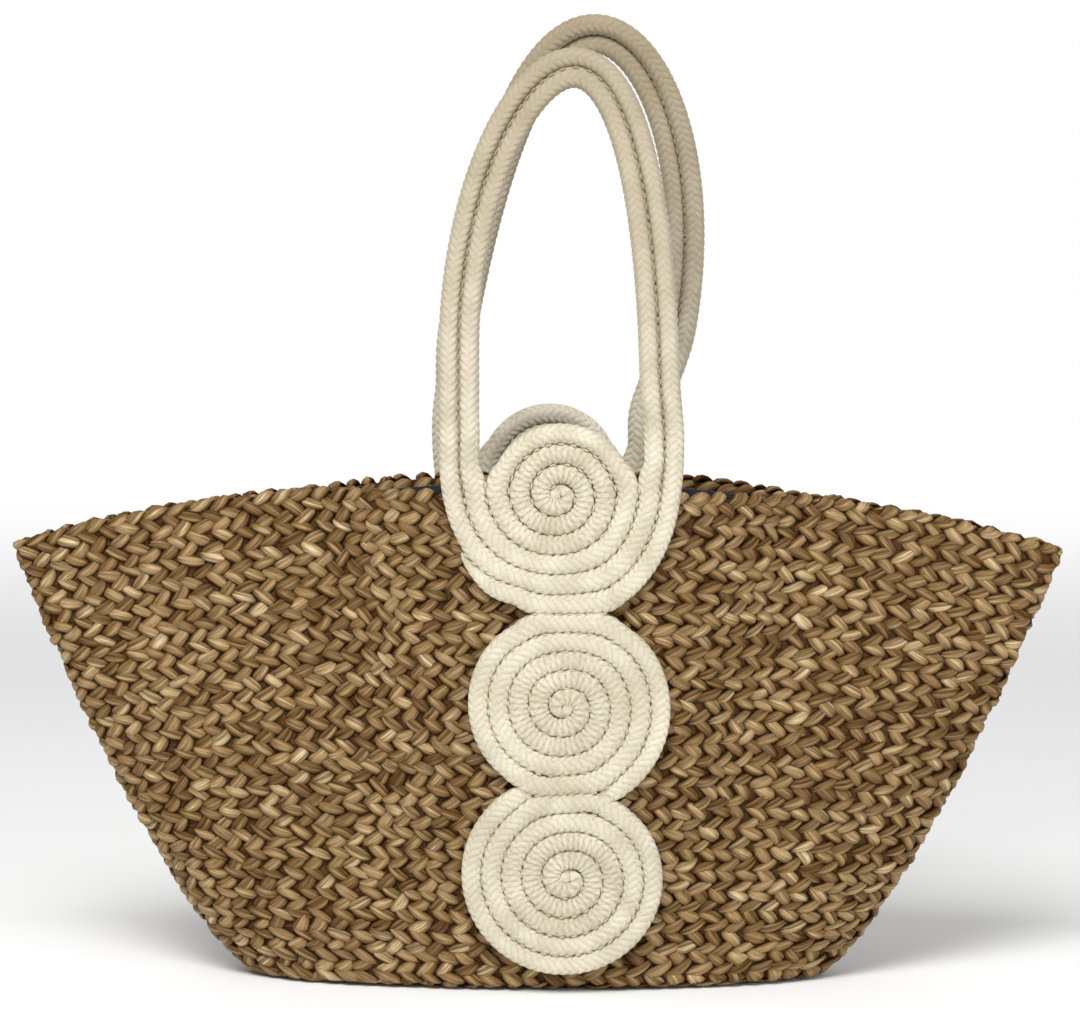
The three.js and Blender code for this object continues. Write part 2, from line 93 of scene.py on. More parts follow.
# Studio: a large soft lamp above and in front, a weaker one from the right, a plain white room, and
# a pale floor that fades out into it.
def paint(red, green, blue):
    """A colour given as it looks on a screen, 0 to 255, as the light that a shader works with."""
    parts = [value / 255 for value in (red, green, blue)]
    light = [c / 12.92 if c <= 0.04045 else ((c + 0.055) / 1.055) ** 2.4 for c in parts]
    return (*light, 1.0)


def connect(tree, value, socket):
    """Links a node's outcome to a socket, or sets a plain value on it."""
    if isinstance(value, Reading):
        value = value.socket
    if isinstance(value, bpy.types.NodeSocket):
        tree.links.new(value, socket)
    elif value is not None:
        socket.default_value = value


def add_node(tree, kind, inputs=None, **settings):
    """A node with its settings and inputs, given by name or by place."""
    node = tree.nodes.new(kind)
    for name, value in settings.items():
        setattr(node, name, value)
    for key, value in (inputs or {}).items():
        connect(tree, value, node.inputs[key])
    return node


def place_on(tree):
    """Where a point lies on its piece, for the piece's material to read."""
    return add_node(tree, "ShaderNodeTexCoord").outputs["Object"]


class Reading:
    """A number in a node tree, so that a sum over straw or rope reads as a plain sum."""

    def __init__(self, tree, socket):
        self.tree = tree
        self.socket = socket

    def work(self, operation, *others):
        inputs = dict(enumerate((self, *others)))
        node = add_node(self.tree, "ShaderNodeMath", inputs, operation=operation)
        return Reading(self.tree, node.outputs[0])

    def __add__(self, other):
        return self.work("ADD", other)

    def __mul__(self, other):
        return self.work("MULTIPLY", other)

    def __sub__(self, other):
        return self.work("SUBTRACT", other)

    def __truediv__(self, other):
        return self.work("DIVIDE", other)

    def __rtruediv__(self, other):
        node = add_node(self.tree, "ShaderNodeMath", {0: other, 1: self}, operation="DIVIDE")
        return Reading(self.tree, node.outputs[0])

    def __rsub__(self, other):
        return self * -1 + other

    def __pow__(self, other):
        return self.work("POWER", other)

    def __abs__(self):
        return self.work("ABSOLUTE")

    __radd__ = __add__
    __rmul__ = __mul__


def new_material(name, roughness, specular):
    material = bpy.data.materials.new(name)
    material.use_nodes = True
    shader = material.node_tree.nodes["Principled BSDF"]
    shader.inputs["Roughness"].default_value = roughness
    shader.inputs["Specular IOR Level"].default_value = specular
    return material, material.node_tree, shader


room_light = 0.5
room_in_gloss = 0.4
lamp_aim = Vector((0, 0, 0.2))
floor_paint = paint(250, 250, 250)
floor_fade = (0.9, 2.2)

world = bpy.data.worlds.new("room")
bpy.context.scene.world = world
world.use_nodes = True
room = world.node_tree
ray = add_node(room, "ShaderNodeLightPath").outputs
glossy = Reading(room, ray["Is Glossy Ray"]) * room_in_gloss
shown = Reading(room, ray["Is Camera Ray"]).work("MAXIMUM", glossy)
room_background = room.nodes["Background"]
connect(room, shown * (1 - room_light) + room_light, room_background.inputs["Strength"])
room_background.inputs["Color"].default_value = (1, 1, 1, 1)

for name, place, size, power in (
    ("lamp_above", (-0.45, -1.55, 1.9), 1.1, 49.0),
    ("lamp_right", (1.9, -1.7, 0.9), 1.4, 14.0),
):
    lamp = bpy.data.lights.new(name, "AREA")
    lamp.energy = power
    lamp.size = size
    lamp_object = bpy.data.objects.new(name, lamp)
    lamp_object.location = place
    toward = lamp_aim - Vector(place)
    lamp_object.rotation_euler = toward.to_track_quat("-Z", "Y").to_euler()
    bpy.context.scene.collection.objects.link(lamp_object)

bpy.ops.mesh.primitive_circle_add(vertices=96, radius=floor_fade[1], fill_type="NGON")
floor = bpy.context.object
floor.name = "floor"
floor_material, surface, floor_shader = new_material("pale_floor", roughness=0.9, specular=0.05)
floor_shader.inputs["Base Color"].default_value = floor_paint
away = add_node(surface, "ShaderNodeVectorMath", {0: place_on(surface)}, operation="LENGTH")
fade_inputs = {0: away.outputs["Value"], 1: floor_fade[0], 2: floor_fade[1]}
fade = add_node(surface, "ShaderNodeMapRange", fade_inputs, interpolation_type="SMOOTHSTEP")
clear = add_node(surface, "ShaderNodeBsdfTransparent")
mix_inputs = {0: fade.outputs[0], 1: floor_shader.outputs[0], 2: clear.outputs[0]}
floor_mix = add_node(surface, "ShaderNodeMixShader", mix_inputs)
connect(surface, floor_mix.outputs[0], surface.nodes["Material Output"].inputs["Surface"])
floor.data.materials.append(floor_material)

# Straw shell: one long herringbone braid of folded straw, sewn round and round from the middle of
# the oval base out, up the flared wall and over the rim. Here is the surface that the braid follows.
rim_low, rim_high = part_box("rim_braid")
rim_height = rim_high.z
mouth_length = rim_high.x - rim_low.x
base_length = 0.272
base_depth = 0.090
mouth_depth = 0.096
mouth_opening = 0.248
mouth_shift = 0.012
pinched_depth = 0.015
corner_drop = 0.031
belly_swell = 0.011
flare_power = 0.7
arch_power = 2.5
corner_power = 0.35
opening_power = 4
opening_fall = 1.8
swell_power = 1.5
quarter_points = 160
end_crowding = 2.2
ring_points = 480


def rim_height_at(across):
    return rim_height - corner_drop * np.abs(across) ** arch_power


def shell_place(across, front, level, inset):
    """x and y of the shell at a place across it, from -1 to 1, and a level from 0 to 1."""
    bow = np.sqrt(np.clip(1 - across * across, 0, 1))
    from_opening = across * mouth_length / 2 - mouth_shift
    nearness = np.minimum(1, np.abs(from_opening) / (mouth_opening / 2))
    opened = (mouth_depth - pinched_depth) / 2 * (1 - nearness**opening_power) ** opening_fall
    low = (base_depth / 2 - inset) * bow
    high = (pinched_depth / 2 - inset) * bow**corner_power + opened
    swell = belly_swell * (np.sin(np.pi * np.clip(level, 0, 1)) * bow) ** swell_power
    depth = low + (high - low) * level + swell
    flare = np.clip(level, 0, 1) ** flare_power
    half = base_length / 2 + (mouth_length - base_length) / 2 * flare - inset
    return half * across, depth * front


def even_ring(ring, count):
    """The same closed ring with points evenly spaced along it; its length comes with it."""
    closed = np.vstack([ring, ring[:1]])
    steps = np.linalg.norm(np.diff(closed, axis=0), axis=1)
    along = np.concatenate([[0], np.cumsum(steps)])
    wanted = np.linspace(0, along[-1], count, endpoint=False)
    return np.stack([np.interp(wanted, along, closed[:, k]) for k in range(3)], 1), along[-1]


def shell_ring(inset, level=0.0, drop=None, height=None):
    """A ring round the shell, from the middle of the rear, anticlockwise seen from above: at a
    level, a drop below the rim or a height above the floor, and an inset from the outside."""
    near = np.linspace(0, 1, quarter_points, endpoint=False) ** end_crowding * math.pi / 2
    angles = np.concatenate([math.pi - near, math.pi + near, 2 * math.pi - near, near])
    angles = np.sort((np.unique(angles) - math.pi / 2) % (2 * math.pi)) + math.pi / 2
    across, front = np.cos(angles), np.where(np.sin(angles) >= 0, 1.0, -1.0)
    top = rim_height_at(across)
    levels = 1 - drop / top if drop is not None else np.full(len(top), level)
    x, y = shell_place(across, front, levels, inset)
    z = np.full(len(top), height) if height is not None else levels * top
    return even_ring(np.stack([x, y, z], 1), ring_points)


def band(places):
    """Rings at a list of places on the shell: their points, lengths and distances up the front."""
    made = [shell_ring(**place) for place in places]
    points = np.array([ring for ring, _ in made])
    lengths = np.array([length for _, length in made])
    middle = points[:, ring_points // 2]
    climb = np.concatenate([[0], np.cumsum(np.linalg.norm(np.diff(middle, axis=0), axis=1))])
    return points, lengths, climb


def across_floor(inset, height, backs):
    return [{"inset": inset + back, "height": height} for back in backs]


def up_wall(inset, levels):
    return [{"inset": inset, "level": level} for level in levels]


bed = 0.0012
base_lift = 0.0030
base_backs = np.linspace(0.0434, 0.0030, 14)
corner_steps = ((0.0016, 0.0002), (0.0006, 0.0009))
wall_levels = np.linspace(0.014, 0.985, 72)
rim_roll = 0.00165
rim_turns = np.linspace(0, math.pi, 9)
inner_downs = (0.003, 0.007, 0.013, 0.020)
roll_drop = bed + rim_roll

base_places = across_floor(bed, base_lift, base_backs)
for back, lift in corner_steps:
    base_places += across_floor(bed, base_lift + lift, [back])
wall_places = up_wall(bed, wall_levels)
rim_places = [
    {
        "inset": bed + rim_roll * (1 - math.cos(turn)),
        "drop": roll_drop - rim_roll * math.sin(turn),
    }
    for turn in rim_turns
]
inner_places = [{"inset": bed + 2 * rim_roll, "drop": roll_drop + down} for down in inner_downs]
bed_points, bed_lengths, bed_climb = band(base_places + wall_places + rim_places + inner_places)
wall_start = bed_climb[len(base_places) - 1]
rim_edge = bed_climb[len(base_places + wall_places) + len(rim_places) // 2]


def unit(arrows):
    return arrows / np.linalg.norm(arrows, axis=-1, keepdims=True)


def new_mesh(name, points, edges=(), faces=(), **kept):
    """A mesh that keeps a number or an arrow with each point, under each further name given."""
    mesh = bpy.data.meshes.new(name)
    mesh.from_pydata(points, edges, faces)
    for column, values in kept.items():
        values = np.asarray(values)
        whole, arrow = values.dtype.kind == "i", values.ndim > 1
        kind = "FLOAT_VECTOR" if arrow else "INT" if whole else "FLOAT"
        flat = values.astype(np.int32 if whole else np.float32).ravel()
        attribute = mesh.attributes.new(column, kind, "POINT")
        attribute.data.foreach_set("vector" if arrow else "value", flat)
    return mesh


def grid_mesh(name, points, climb):
    """A sheet over closed rings, with the way round as u, the climb as v, and outward arrows."""
    rows, around = points.shape[:2]
    ahead = np.roll(points, -1, 1) - np.roll(points, 1, 1)
    out = unit(np.cross(ahead, np.gradient(points, axis=0)))
    wrap = np.arange(around + 1) % around
    columns = around + 1
    faces = [
        (r * columns + c, r * columns + c + 1, (r + 1) * columns + c + 1, (r + 1) * columns + c)
        for r in range(rows - 1)
        for c in range(around)
    ]
    mesh = new_mesh(name, points[:, wrap].reshape(-1, 3), faces=faces, out=out[:, wrap])
    u = np.tile(np.arange(columns) / around, rows)
    v = np.repeat(climb / climb[-1], columns)
    corner = np.zeros(len(mesh.loops), np.int32)
    mesh.loops.foreach_get("vertex_index", corner)
    layer = mesh.uv_layers.new(name="flat")
    layer.data.foreach_set("uv", np.stack([u[corner], v[corner]], 1).ravel())
    return mesh


def put(name, mesh):
    piece = bpy.data.objects.new(name, mesh)
    bpy.context.scene.collection.objects.link(piece)
    return piece


shell_bed = put("shell_bed", grid_mesh("shell_bed", bed_points, bed_climb))

# Straw leaves: each strand of the braid shows as a plump leaf where it lies on top, about a
# centimetre long, with folds along it. Eight leaves, no two alike, make the whole braid.
leaf_length = 0.0147
leaf_width = 0.0071
leaf_height = 0.0023
leaf_kinds = 8
leaf_seed = 40
leaf_stations = (0.07, 0.2, 0.36, 0.53, 0.7, 0.84, 0.95)
leaf_section = (-1.0, -0.72, -0.38, -0.02, 0.34, 0.7, 1.0)
leaf_underside = (0.55, -0.55)
fold_depth = 0.24
fold_shade = 0.4
end_sink = 0.8
leaves = bpy.data.collections.new("straw_leaves")


def straw_leaf(kind):
    """One of the leaves, with none, one or two folds. Its grain says how far along and across a
    point lies, and how high on the leaf's ridge."""
    draw = np.random.default_rng(leaf_seed + kind)
    folds = draw.choice(len(leaf_section) - 2, size=kind % 3, replace=False) + 1
    bend = draw.uniform(-0.09, 0.09)
    blunt = draw.uniform(0.34, 0.5)
    side, under = bend * leaf_width, -0.5 * leaf_height
    points, grain = [(-leaf_length / 2, side, under)], [(0.0, 0.0, 0.5)]
    for t in leaf_stations:
        plump = 4 * t * (1 - t)
        along = leaf_length * (t - 0.5)
        shift = side * (1 - plump) * 2
        half = leaf_width / 2 * plump**blunt * draw.uniform(0.93, 1.05)
        arch = plump**0.55
        sink = leaf_height * end_sink * (2 * t - 1) ** 2
        for j, y in enumerate(leaf_section):
            rise = leaf_height * arch * (1 - abs(y) ** 2.4) ** 0.62
            if j in folds:
                rise -= leaf_height * fold_depth * arch
            rise *= draw.uniform(0.92, 1.06)
            points.append((along, half * y + shift, rise - sink))
            # the ridge value falls towards the edges and is cut in the folds; the straw paints shade
            # where it is low
            ridge = (1 - abs(y) ** 2.2) * plump**0.45
            grain.append((t, y, ridge * (fold_shade if j in folds else 1.0)))
        for y in leaf_underside:
            points.append((along, half * y + shift, under))
            grain.append((t, y, 0.0))
    points.append((leaf_length / 2, side, under))
    grain.append((1.0, 0.0, 0.5))
    ring = len(leaf_section) + len(leaf_underside)
    rings = [range(1 + s * ring, 1 + (s + 1) * ring) for s in range(len(leaf_stations))]
    faces = []
    for j in range(ring):
        k = (j + 1) % ring
        faces.append((rings[0][k], rings[0][j], 0))
        faces += [(low[k], high[k], high[j], low[j]) for low, high in zip(rings, rings[1:])]
        faces.append((rings[-1][j], rings[-1][k], len(points) - 1))
    mesh = new_mesh(f"straw_leaf_{kind}", points, faces=faces, grain=grain)
    leaves.objects.link(bpy.data.objects.new(mesh.name, mesh))


for kind in range(leaf_kinds):
    straw_leaf(kind)

# Straw: split and dried, so it runs from pale tan to brown from leaf to leaf, with long fibres. Each
# leaf is painted dark brown towards its edges and in its folds, as shade, so its ridge stands pale.
straw_dark = paint(70, 44, 16)
straw_mid = paint(125, 94, 51)
straw_light = paint(168, 139, 94)
straw_pale = paint(224, 202, 162)
straw_edge_shade = paint(48, 24, 9)


def told(tree, name, kind="Fac"):
    """What a piece keeps under a name, for its material to read."""
    return Reading(tree, add_node(tree, "ShaderNodeAttribute", attribute_name=name).outputs[kind])


def split(tree, vector):
    parts = add_node(tree, "ShaderNodeSeparateXYZ", {0: vector}).outputs
    return [Reading(tree, part) for part in parts]


def combine(tree, x, y, z):
    return add_node(tree, "ShaderNodeCombineXYZ", {0: x, 1: y, 2: z}).outputs[0]


def ramp(tree, value, stops):
    """A colour ramp over stops of (place, colour)."""
    node = add_node(tree, "ShaderNodeValToRGB", {0: value})
    marks = node.color_ramp.elements
    while len(marks) < len(stops):
        marks.new(0.5)
    for stop, (place, colour) in zip(marks, stops):
        stop.position = place
        stop.color = colour
    return node.outputs["Color"]


def blend_colours(tree, factor, first, second):
    inputs = {0: factor, 6: first, 7: second}
    return add_node(tree, "ShaderNodeMix", data_type="RGBA", inputs=inputs).outputs[2]


def noise(tree, vector, scale, detail, roughness=0.5):
    inputs = {"Vector": vector, "Scale": scale, "Detail": detail, "Roughness": roughness}
    return Reading(tree, add_node(tree, "ShaderNodeTexNoise", inputs).outputs[0])


def bump(tree, shader, height, strength, distance):
    inputs = {"Height": height, "Strength": strength, "Distance": distance}
    node = add_node(tree, "ShaderNodeBump", inputs)
    connect(tree, node.outputs["Normal"], shader.inputs["Normal"])


def straw_material():
    material, tree, shader = new_material("dried_straw", roughness=0.48, specular=0.38)
    along, across, ridge = split(tree, told(tree, "grain", "Vector"))
    tone = told(tree, "tone")
    fibre_place = combine(tree, along * 1.3 + tone * 91, across * 5.5, tone * 37)
    fibres = noise(tree, fibre_place, scale=1.0, detail=4.0, roughness=0.62)
    strand_place = combine(tree, along * 0.8 + tone * 53, across * 2.3, tone * 11)
    blotches = noise(tree, strand_place, scale=1.4, detail=2.0)
    shade = tone * 0.42 + blotches + fibres * 1.1 - 0.77
    stops = ((0.0, straw_dark), (0.34, straw_mid), (0.68, straw_light), (1.0, straw_pale))
    # painted shade: dark brown towards the leaf's edges and in its folds
    edge = (1 - ridge) ** 1.25
    colour = blend_colours(tree, edge, ramp(tree, shade, stops), straw_edge_shade)
    connect(tree, colour, shader.inputs["Base Color"])
    connect(tree, ridge**2 * 0.45, shader.inputs["Specular IOR Level"])
    bump(tree, shader, fibres * 0.6 + blotches, strength=0.75, distance=0.0011)
    return material


straw = straw_material()


# Braid: the leaves lie in pairs of rows. In the upper row of a course they lean to the right, in the
# lower row to the left, half a leaf on, and each tucks its inner end under the other row.
leaf_pitch = 0.0102
wall_courses = 23
row_split = 0.225
course_shift = 0.37
lean = math.radians(31)
outer_lift = math.radians(5)
side_roll = math.radians(11)
slip_along = (-0.16, 0.16)
slip_up = (-0.0007, 0.0007)
slip_out = (-0.0005, 0.0004)
slip_lean = (-0.24, 0.24)
lift_shares = (0.3, 1.7)
roll_shares = (0.2, 1.8)
length_shares = (0.9, 1.08)
width_shares = (0.86, 1.12)
height_shares = (0.8, 1.15)
climb_limits = (0.0005, 0.9995)


def new_tree(name, sizes):
    """A geometry tree with named inputs; sizes gives each input's kind."""
    tree = bpy.data.node_groups.new(name, "GeometryNodeTree")
    for way in ("INPUT", "OUTPUT"):
        tree.interface.new_socket("Geometry", in_out=way, socket_type="NodeSocketGeometry")
    for size, kind in sizes.items():
        tree.interface.new_socket(size, in_out="INPUT", socket_type=f"NodeSocket{kind}")
    return tree, tree.nodes.new("NodeGroupInput").outputs, tree.nodes.new("NodeGroupOutput")


def named(tree, name, kind="FLOAT"):
    node = add_node(tree, "GeometryNodeInputNamedAttribute", {"Name": name}, data_type=kind)
    return node.outputs["Attribute"]


def number(tree, name, kind="FLOAT"):
    return Reading(tree, named(tree, name, kind))


def chance(tree, low, high, seed, kind="FLOAT"):
    places = {"FLOAT": (2, 3, 1), "INT": (4, 5, 2)}[kind]
    inputs = {places[0]: low, places[1]: high, "Seed": seed}
    node = add_node(tree, "FunctionNodeRandomValue", inputs, data_type=kind)
    return Reading(tree, node.outputs[places[2]])


def store(tree, geometry, name, value, kind="FLOAT"):
    inputs = {"Geometry": geometry, "Name": name, "Value": value}
    return add_node(tree, "GeometryNodeStoreNamedAttribute", inputs, data_type=kind).outputs[0]


def vector_work(tree, operation, first, second=None, scale=None):
    inputs = {0: first, 1: second} if scale is None else {0: first, "Scale": scale}
    return add_node(tree, "ShaderNodeVectorMath", inputs, operation=operation)


def move_points(tree, geometry, position):
    inputs = {"Geometry": geometry, "Position": position}
    return add_node(tree, "GeometryNodeSetPosition", inputs).outputs[0]


def finish_tree(tree, geometry, material, output):
    realized = add_node(tree, "GeometryNodeRealizeInstances", {0: geometry}).outputs[0]
    smooth = add_node(tree, "GeometryNodeSetShadeSmooth", {0: realized}).outputs[0]
    dressed = add_node(tree, "GeometryNodeSetMaterial", {0: smooth, 2: material}).outputs[0]
    connect(tree, dressed, output.inputs[0])


def grown(name, start, tree, sizes):
    """The plain mesh that a tree makes of a start object, as a piece; the start object goes."""
    modifier = start.modifiers.new("made", "NODES")
    modifier.node_group = tree
    sockets = {item.name: item.identifier for item in tree.interface.items_tree}
    for size, value in sizes.items():
        modifier[sockets[size]] = value
    shown_now = start.evaluated_get(bpy.context.evaluated_depsgraph_get())
    piece = put(name, bpy.data.meshes.new_from_object(shown_now))
    bpy.data.objects.remove(start)
    return piece


def braid_tree():
    """Lays leaves along flat rows, then wraps the rows on the shell by its flat map."""
    sizes = {"Bed": "Object", "Leaves": "Collection", "Straw": "Material", "Seed": "Int"}
    sizes |= dict.fromkeys(("Climb", "Lean", "Lift", "Roll"), "Float")
    tree, given, output = new_tree("straw_braid", sizes)
    seed = Reading(tree, given["Seed"])

    def vary(extent, draw):
        return chance(tree, *extent, seed + draw)

    amount = {"Geometry": given["Geometry"], "Amount": named(tree, "leaves", "INT")}
    copies = add_node(tree, "GeometryNodeDuplicateElements", amount, domain="POINT").outputs
    place = Reading(tree, copies["Duplicate Index"]) + number(tree, "shift") + vary(slip_along, 0)
    x = place * number(tree, "ring") / number(tree, "leaves", "INT")
    y = number(tree, "climb") + vary(slip_up, 1)
    points = move_points(tree, copies["Geometry"], combine(tree, x, y, vary(slip_out, 2)))
    points = store(tree, points, "tone", vary((0.0, 1.0), 3))
    side = number(tree, "side")
    yaw = side * given["Lean"] + vary(slip_lean, 4)
    tilt = vary(lift_shares, 5) * given["Lift"] * -1
    roll = vary(roll_shares, 6) * given["Roll"] * side
    extents = (length_shares, width_shares, height_shares)
    size = combine(tree, *(vary(extent, 7 + k) for k, extent in enumerate(extents)))
    info = {"Collection": given["Leaves"], "Separate Children": True, "Reset Children": True}
    lay = {
        "Points": points,
        "Instance": add_node(tree, "GeometryNodeCollectionInfo", info).outputs[0],
        "Pick Instance": True,
        "Instance Index": chance(tree, 0, leaf_kinds - 1, seed + 10, "INT"),
        "Rotation": combine(tree, roll, tilt, yaw),
        "Scale": size,
    }
    laid = add_node(tree, "GeometryNodeInstanceOnPoints", lay).outputs[0]
    flat = add_node(tree, "GeometryNodeRealizeInstances", {0: laid}).outputs[0]
    here = add_node(tree, "GeometryNodeInputPosition").outputs[0]
    along, climb, height = split(tree, here)
    u = (along / number(tree, "ring")).work("FRACT")
    v = (climb / given["Climb"]).work("MAXIMUM", climb_limits[0]).work("MINIMUM", climb_limits[1])
    bed_shape = add_node(tree, "GeometryNodeObjectInfo", {"Object": given["Bed"]})

    def on_bed(value):
        sample = {
            "Mesh": bed_shape.outputs["Geometry"],
            "Value": value,
            "UV Map": named(tree, "flat", "FLOAT_VECTOR"),
            "Sample UV": combine(tree, u, v, 0.0),
        }
        kind = "FLOAT_VECTOR"
        return add_node(tree, "GeometryNodeSampleUVSurface", sample, data_type=kind).outputs[0]

    out = on_bed(named(tree, "out", "FLOAT_VECTOR"))
    lift = vector_work(tree, "SCALE", out, scale=height).outputs[0]
    raised = vector_work(tree, "ADD", on_bed(here), lift).outputs[0]
    finish_tree(tree, move_points(tree, flat, raised), given["Straw"], output)
    return tree


braid = braid_tree()


def braid_rows(name, rows, seed):
    """A piece of braid over rows of (climb, side, shift)."""
    climb, side, shift = np.array(rows, float).T
    ring = np.interp(climb, bed_climb, bed_lengths)
    count = np.round(ring / leaf_pitch).astype(int)
    kept = {"climb": climb, "side": side, "shift": shift, "ring": ring, "leaves": count}
    mesh = new_mesh(name, np.zeros((len(rows), 3)), **kept)
    sizes = {"Bed": shell_bed, "Leaves": leaves, "Straw": straw, "Climb": float(bed_climb[-1])}
    sizes |= {"Lean": lean, "Lift": outer_lift, "Roll": side_roll, "Seed": seed}
    piece = grown(name, put(name + "_rows", mesh), braid, sizes)
    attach(piece, "bag")
    return piece


def courses(first, last, start, pitch):
    """Two rows a course: the upper leans right and the lower left, half a leaf apart."""
    rows = []
    for course in range(first, last):
        middle = start + pitch * (course + 0.5)
        rows.append((middle - row_split * pitch, -1, 0.5 + course_shift * course))
        rows.append((middle + row_split * pitch, 1, course_shift * course))
    return rows


course_pitch = (rim_edge - wall_start) / wall_courses
wall_nodes = ("foot_wall_braid", "lower_wall_braid", "upper_wall_braid", "top_wall_braid")
wall_stops = (0, 6, 11, 16, wall_courses - 1)
for index, node in enumerate(wall_nodes):
    first, last = wall_stops[index : index + 2]
    rows = courses(first, last, wall_start, course_pitch)
    wall_piece = braid_rows(node.replace("braid", "straw"), rows, seed=100 * (index + 1))
    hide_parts(node)

# Rim: the last course, and the same braid turned over the edge, where it shows above the lining.
# Two rows of it lie inside, and they hide the edge of the wall.
over_rim = ((0.0046, 1, 0.2), (0.0094, -1, 0.7))
rim_rows = courses(wall_courses - 1, wall_courses, wall_start, course_pitch)
rim_rows += [(rim_edge + past, side, shift) for past, side, shift in over_rim]
rim_piece = braid_rows("rim_straw", rim_rows, seed=500)
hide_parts("rim_braid")

# Base: the same braid coiled from the middle line out to the foot of the wall, into which it runs
# on without a seam. It is flat, and the bag stands on it.
base_courses = 4
base_pitch = wall_start / base_courses
base_rows = courses(0, base_courses, 0.0, base_pitch)
base_piece = braid_rows("base_straw", base_rows, seed=600)
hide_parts("base_braid")


# Core: the buried halves of the strands and the sewing thread, seen between leaves. Its dark brown is
# painted shade, the shade that lies in the gaps. It is one closed skin inside the braid, up the wall,
# over the top and down again.
core_inset = 0.0021
core_thickness = 0.0016
core_inner = core_inset + core_thickness
core_floor = base_lift + 0.0008
core_top = 0.003
core_backs = (0.0422, 0.03, 0.015, 0.004, 0.0008)
core_inner_backs = (0.0008, 0.004, 0.015, 0.03, 0.0406)
core_levels = np.linspace(0.018, 0.985, 40)
core_inner_levels = np.linspace(0.985, 0.026, 40)


def rolled(name, rings, **kept):
    """A closed skin over rings of equal count, with a face at each end."""
    count = len(rings[0])
    points = np.concatenate(rings)
    faces = []
    for low in range(0, len(points) - count, count):
        high = low + count
        faces += [
            (low + i, low + (i + 1) % count, high + (i + 1) % count, high + i)
            for i in range(count)
        ]
    faces.append(tuple(range(count - 1, -1, -1)))
    faces.append(tuple(range(len(points) - count, len(points))))
    mesh = new_mesh(name, points, faces=faces, **kept)
    mesh.shade_smooth()
    return mesh


def core_material():
    material, tree, shader = new_material("buried_straw", roughness=0.8, specular=0.15)
    along_fibres = {"Vector": place_on(tree), "Scale": (0.3, 0.3, 1.0)}
    stretched = add_node(tree, "ShaderNodeMapping", along_fibres)
    fibres = noise(tree, stretched.outputs[0], scale=900.0, detail=4.0, roughness=0.6)
    # dark browns: painted shade on the buried straw between the leaves
    stops = ((0.3, paint(44, 27, 10)), (0.7, paint(98, 67, 34)))
    connect(tree, ramp(tree, fibres, stops), shader.inputs["Base Color"])
    bump(tree, shader, fibres, strength=0.8, distance=0.0008)
    return material


core_places = across_floor(core_inset, core_floor, core_backs)
core_places += up_wall(core_inset, core_levels)
core_places += [{"inset": inset, "drop": core_top} for inset in (core_inset, core_inner)]
core_places += up_wall(core_inner, core_inner_levels)
core_places += across_floor(core_inner, core_floor + core_thickness, core_inner_backs)
core = put("straw_core", rolled("straw_core", list(band(core_places)[0])))
core.data.materials.append(core_material())
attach(core, "bag")
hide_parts(*wall_nodes, "base_braid", "rim_braid")

bpy.data.objects.remove(shell_bed)
for leaf in list(leaves.objects):
    bpy.data.objects.remove(leaf)
bpy.data.collections.remove(leaves)


# Rope: cotton cord of plaited strands, 10 mm thick. On each side one length winds out as the top
# medallion, goes twice over as the handle and ends at the neck, and two more make the lower
# medallions. Where ropes are sewn side by side, each is pressed out until it meets the next.
# its section: flat where it is sewn to the bag, and rounder on the handle
rope_radius = 0.0049
rope_crown = 0.0046
rope_press = 0.00018
rope_step = 0.0007
rope_sides = 30
curve_fineness = 16
flat_square = 3.9
round_square = 2.3
# heights at which it leaves the bag for the handle, grows rounder, turns round and twists
rope_cut = 0.245
round_reach = (0.2, rope_cut)
leg_turn = (0.235, 0.33)
# its plaited strands
strand_columns = 6
strand_pitch = 0.0038
strand_slant = 0.8
strand_depth = 0.00056
side_depth = 1.15
crown_depth = 0.8
# its curled start, and how the middle of a winding is found
coil_start = 0.0052
coil_pitch = 0.0110
curl_core = 0.0014
curl_overrun = 0.0052
curl_step = 0.0005
curl_sample = 18
side_sample = 9
first_turn_reach = (0.02, 0.08)
# its thin end, which lies beside the wrap, or runs on round a lower medallion
tail_share = 0.16
tail_steps = 16
tail_length = 0.022
tail_trim = 0.013
tail_lead = 0.007
tail_fade = 0.034
coil_tail_length = 0.019
coil_tail_fade = 0.025
coil_tail_radius = 0.043
coil_tail_sample = 24
# how its line softens near the end, its tips are rounded and a cut end is hidden in the next
soft_end = 0.06
soft_window = 9
end_round = 0.0042
hidden_ends = (0.985, 0.94, 0.8)
# how far it looks for a rope beside it, and how much of its own run it leaves out
look_thinning = 4
look_batch = 500
look_ahead = 0.0018
look_behind = 0.007
look_nearest = 0.003
own_reach = 0.013
# how ropes side by side draw up to each other and press on each other
free_run = (0.05, 0.09)
draw_reach = (0.0036, 0.0064)
draw_most = 0.0036
draw_rounds = 2
draw_window = 9
pressed_reach = (0.0138, 0.0172)
width_limits = (0.0036, 0.0068)
width_window = 6
limit_window = 2
inside_share = 0.98
aside_most = 0.6
# how far painted shade darkens the handles towards their tops, the rear one more, and the puckers
# round a medallion's middle
handle_shade_reach = (0.275, 0.45)
handle_shade_most = {"front": 0.68, "rear": 0.82}
pucker_pitch = 0.0027
pucker_reach = 0.3


def solid_line(node):
    """The line down the middle of a CAD rope: its rings, met in order from one end to the other."""
    mesh = frame["nodes"][node].data
    places = np.array([v.co for v in mesh.vertices])
    keys, same = np.unique(np.round(places, 6), axis=0, return_inverse=True)
    same = same.ravel()
    near = [set() for _ in keys]
    for face in mesh.polygons:
        corners = [same[v] for v in face.vertices]
        for corner in corners:
            near[corner].update(corners)

    def layers(start):
        met, edge, found = {start}, [start], []
        while edge:
            found.append(edge)
            edge = sorted({n for v in edge for n in near[v]} - met)
            met.update(edge)
        return found

    end = layers(0)[-1][0]
    return np.array([keys[layer].mean(axis=0) for layer in layers(end)[1:-1]])


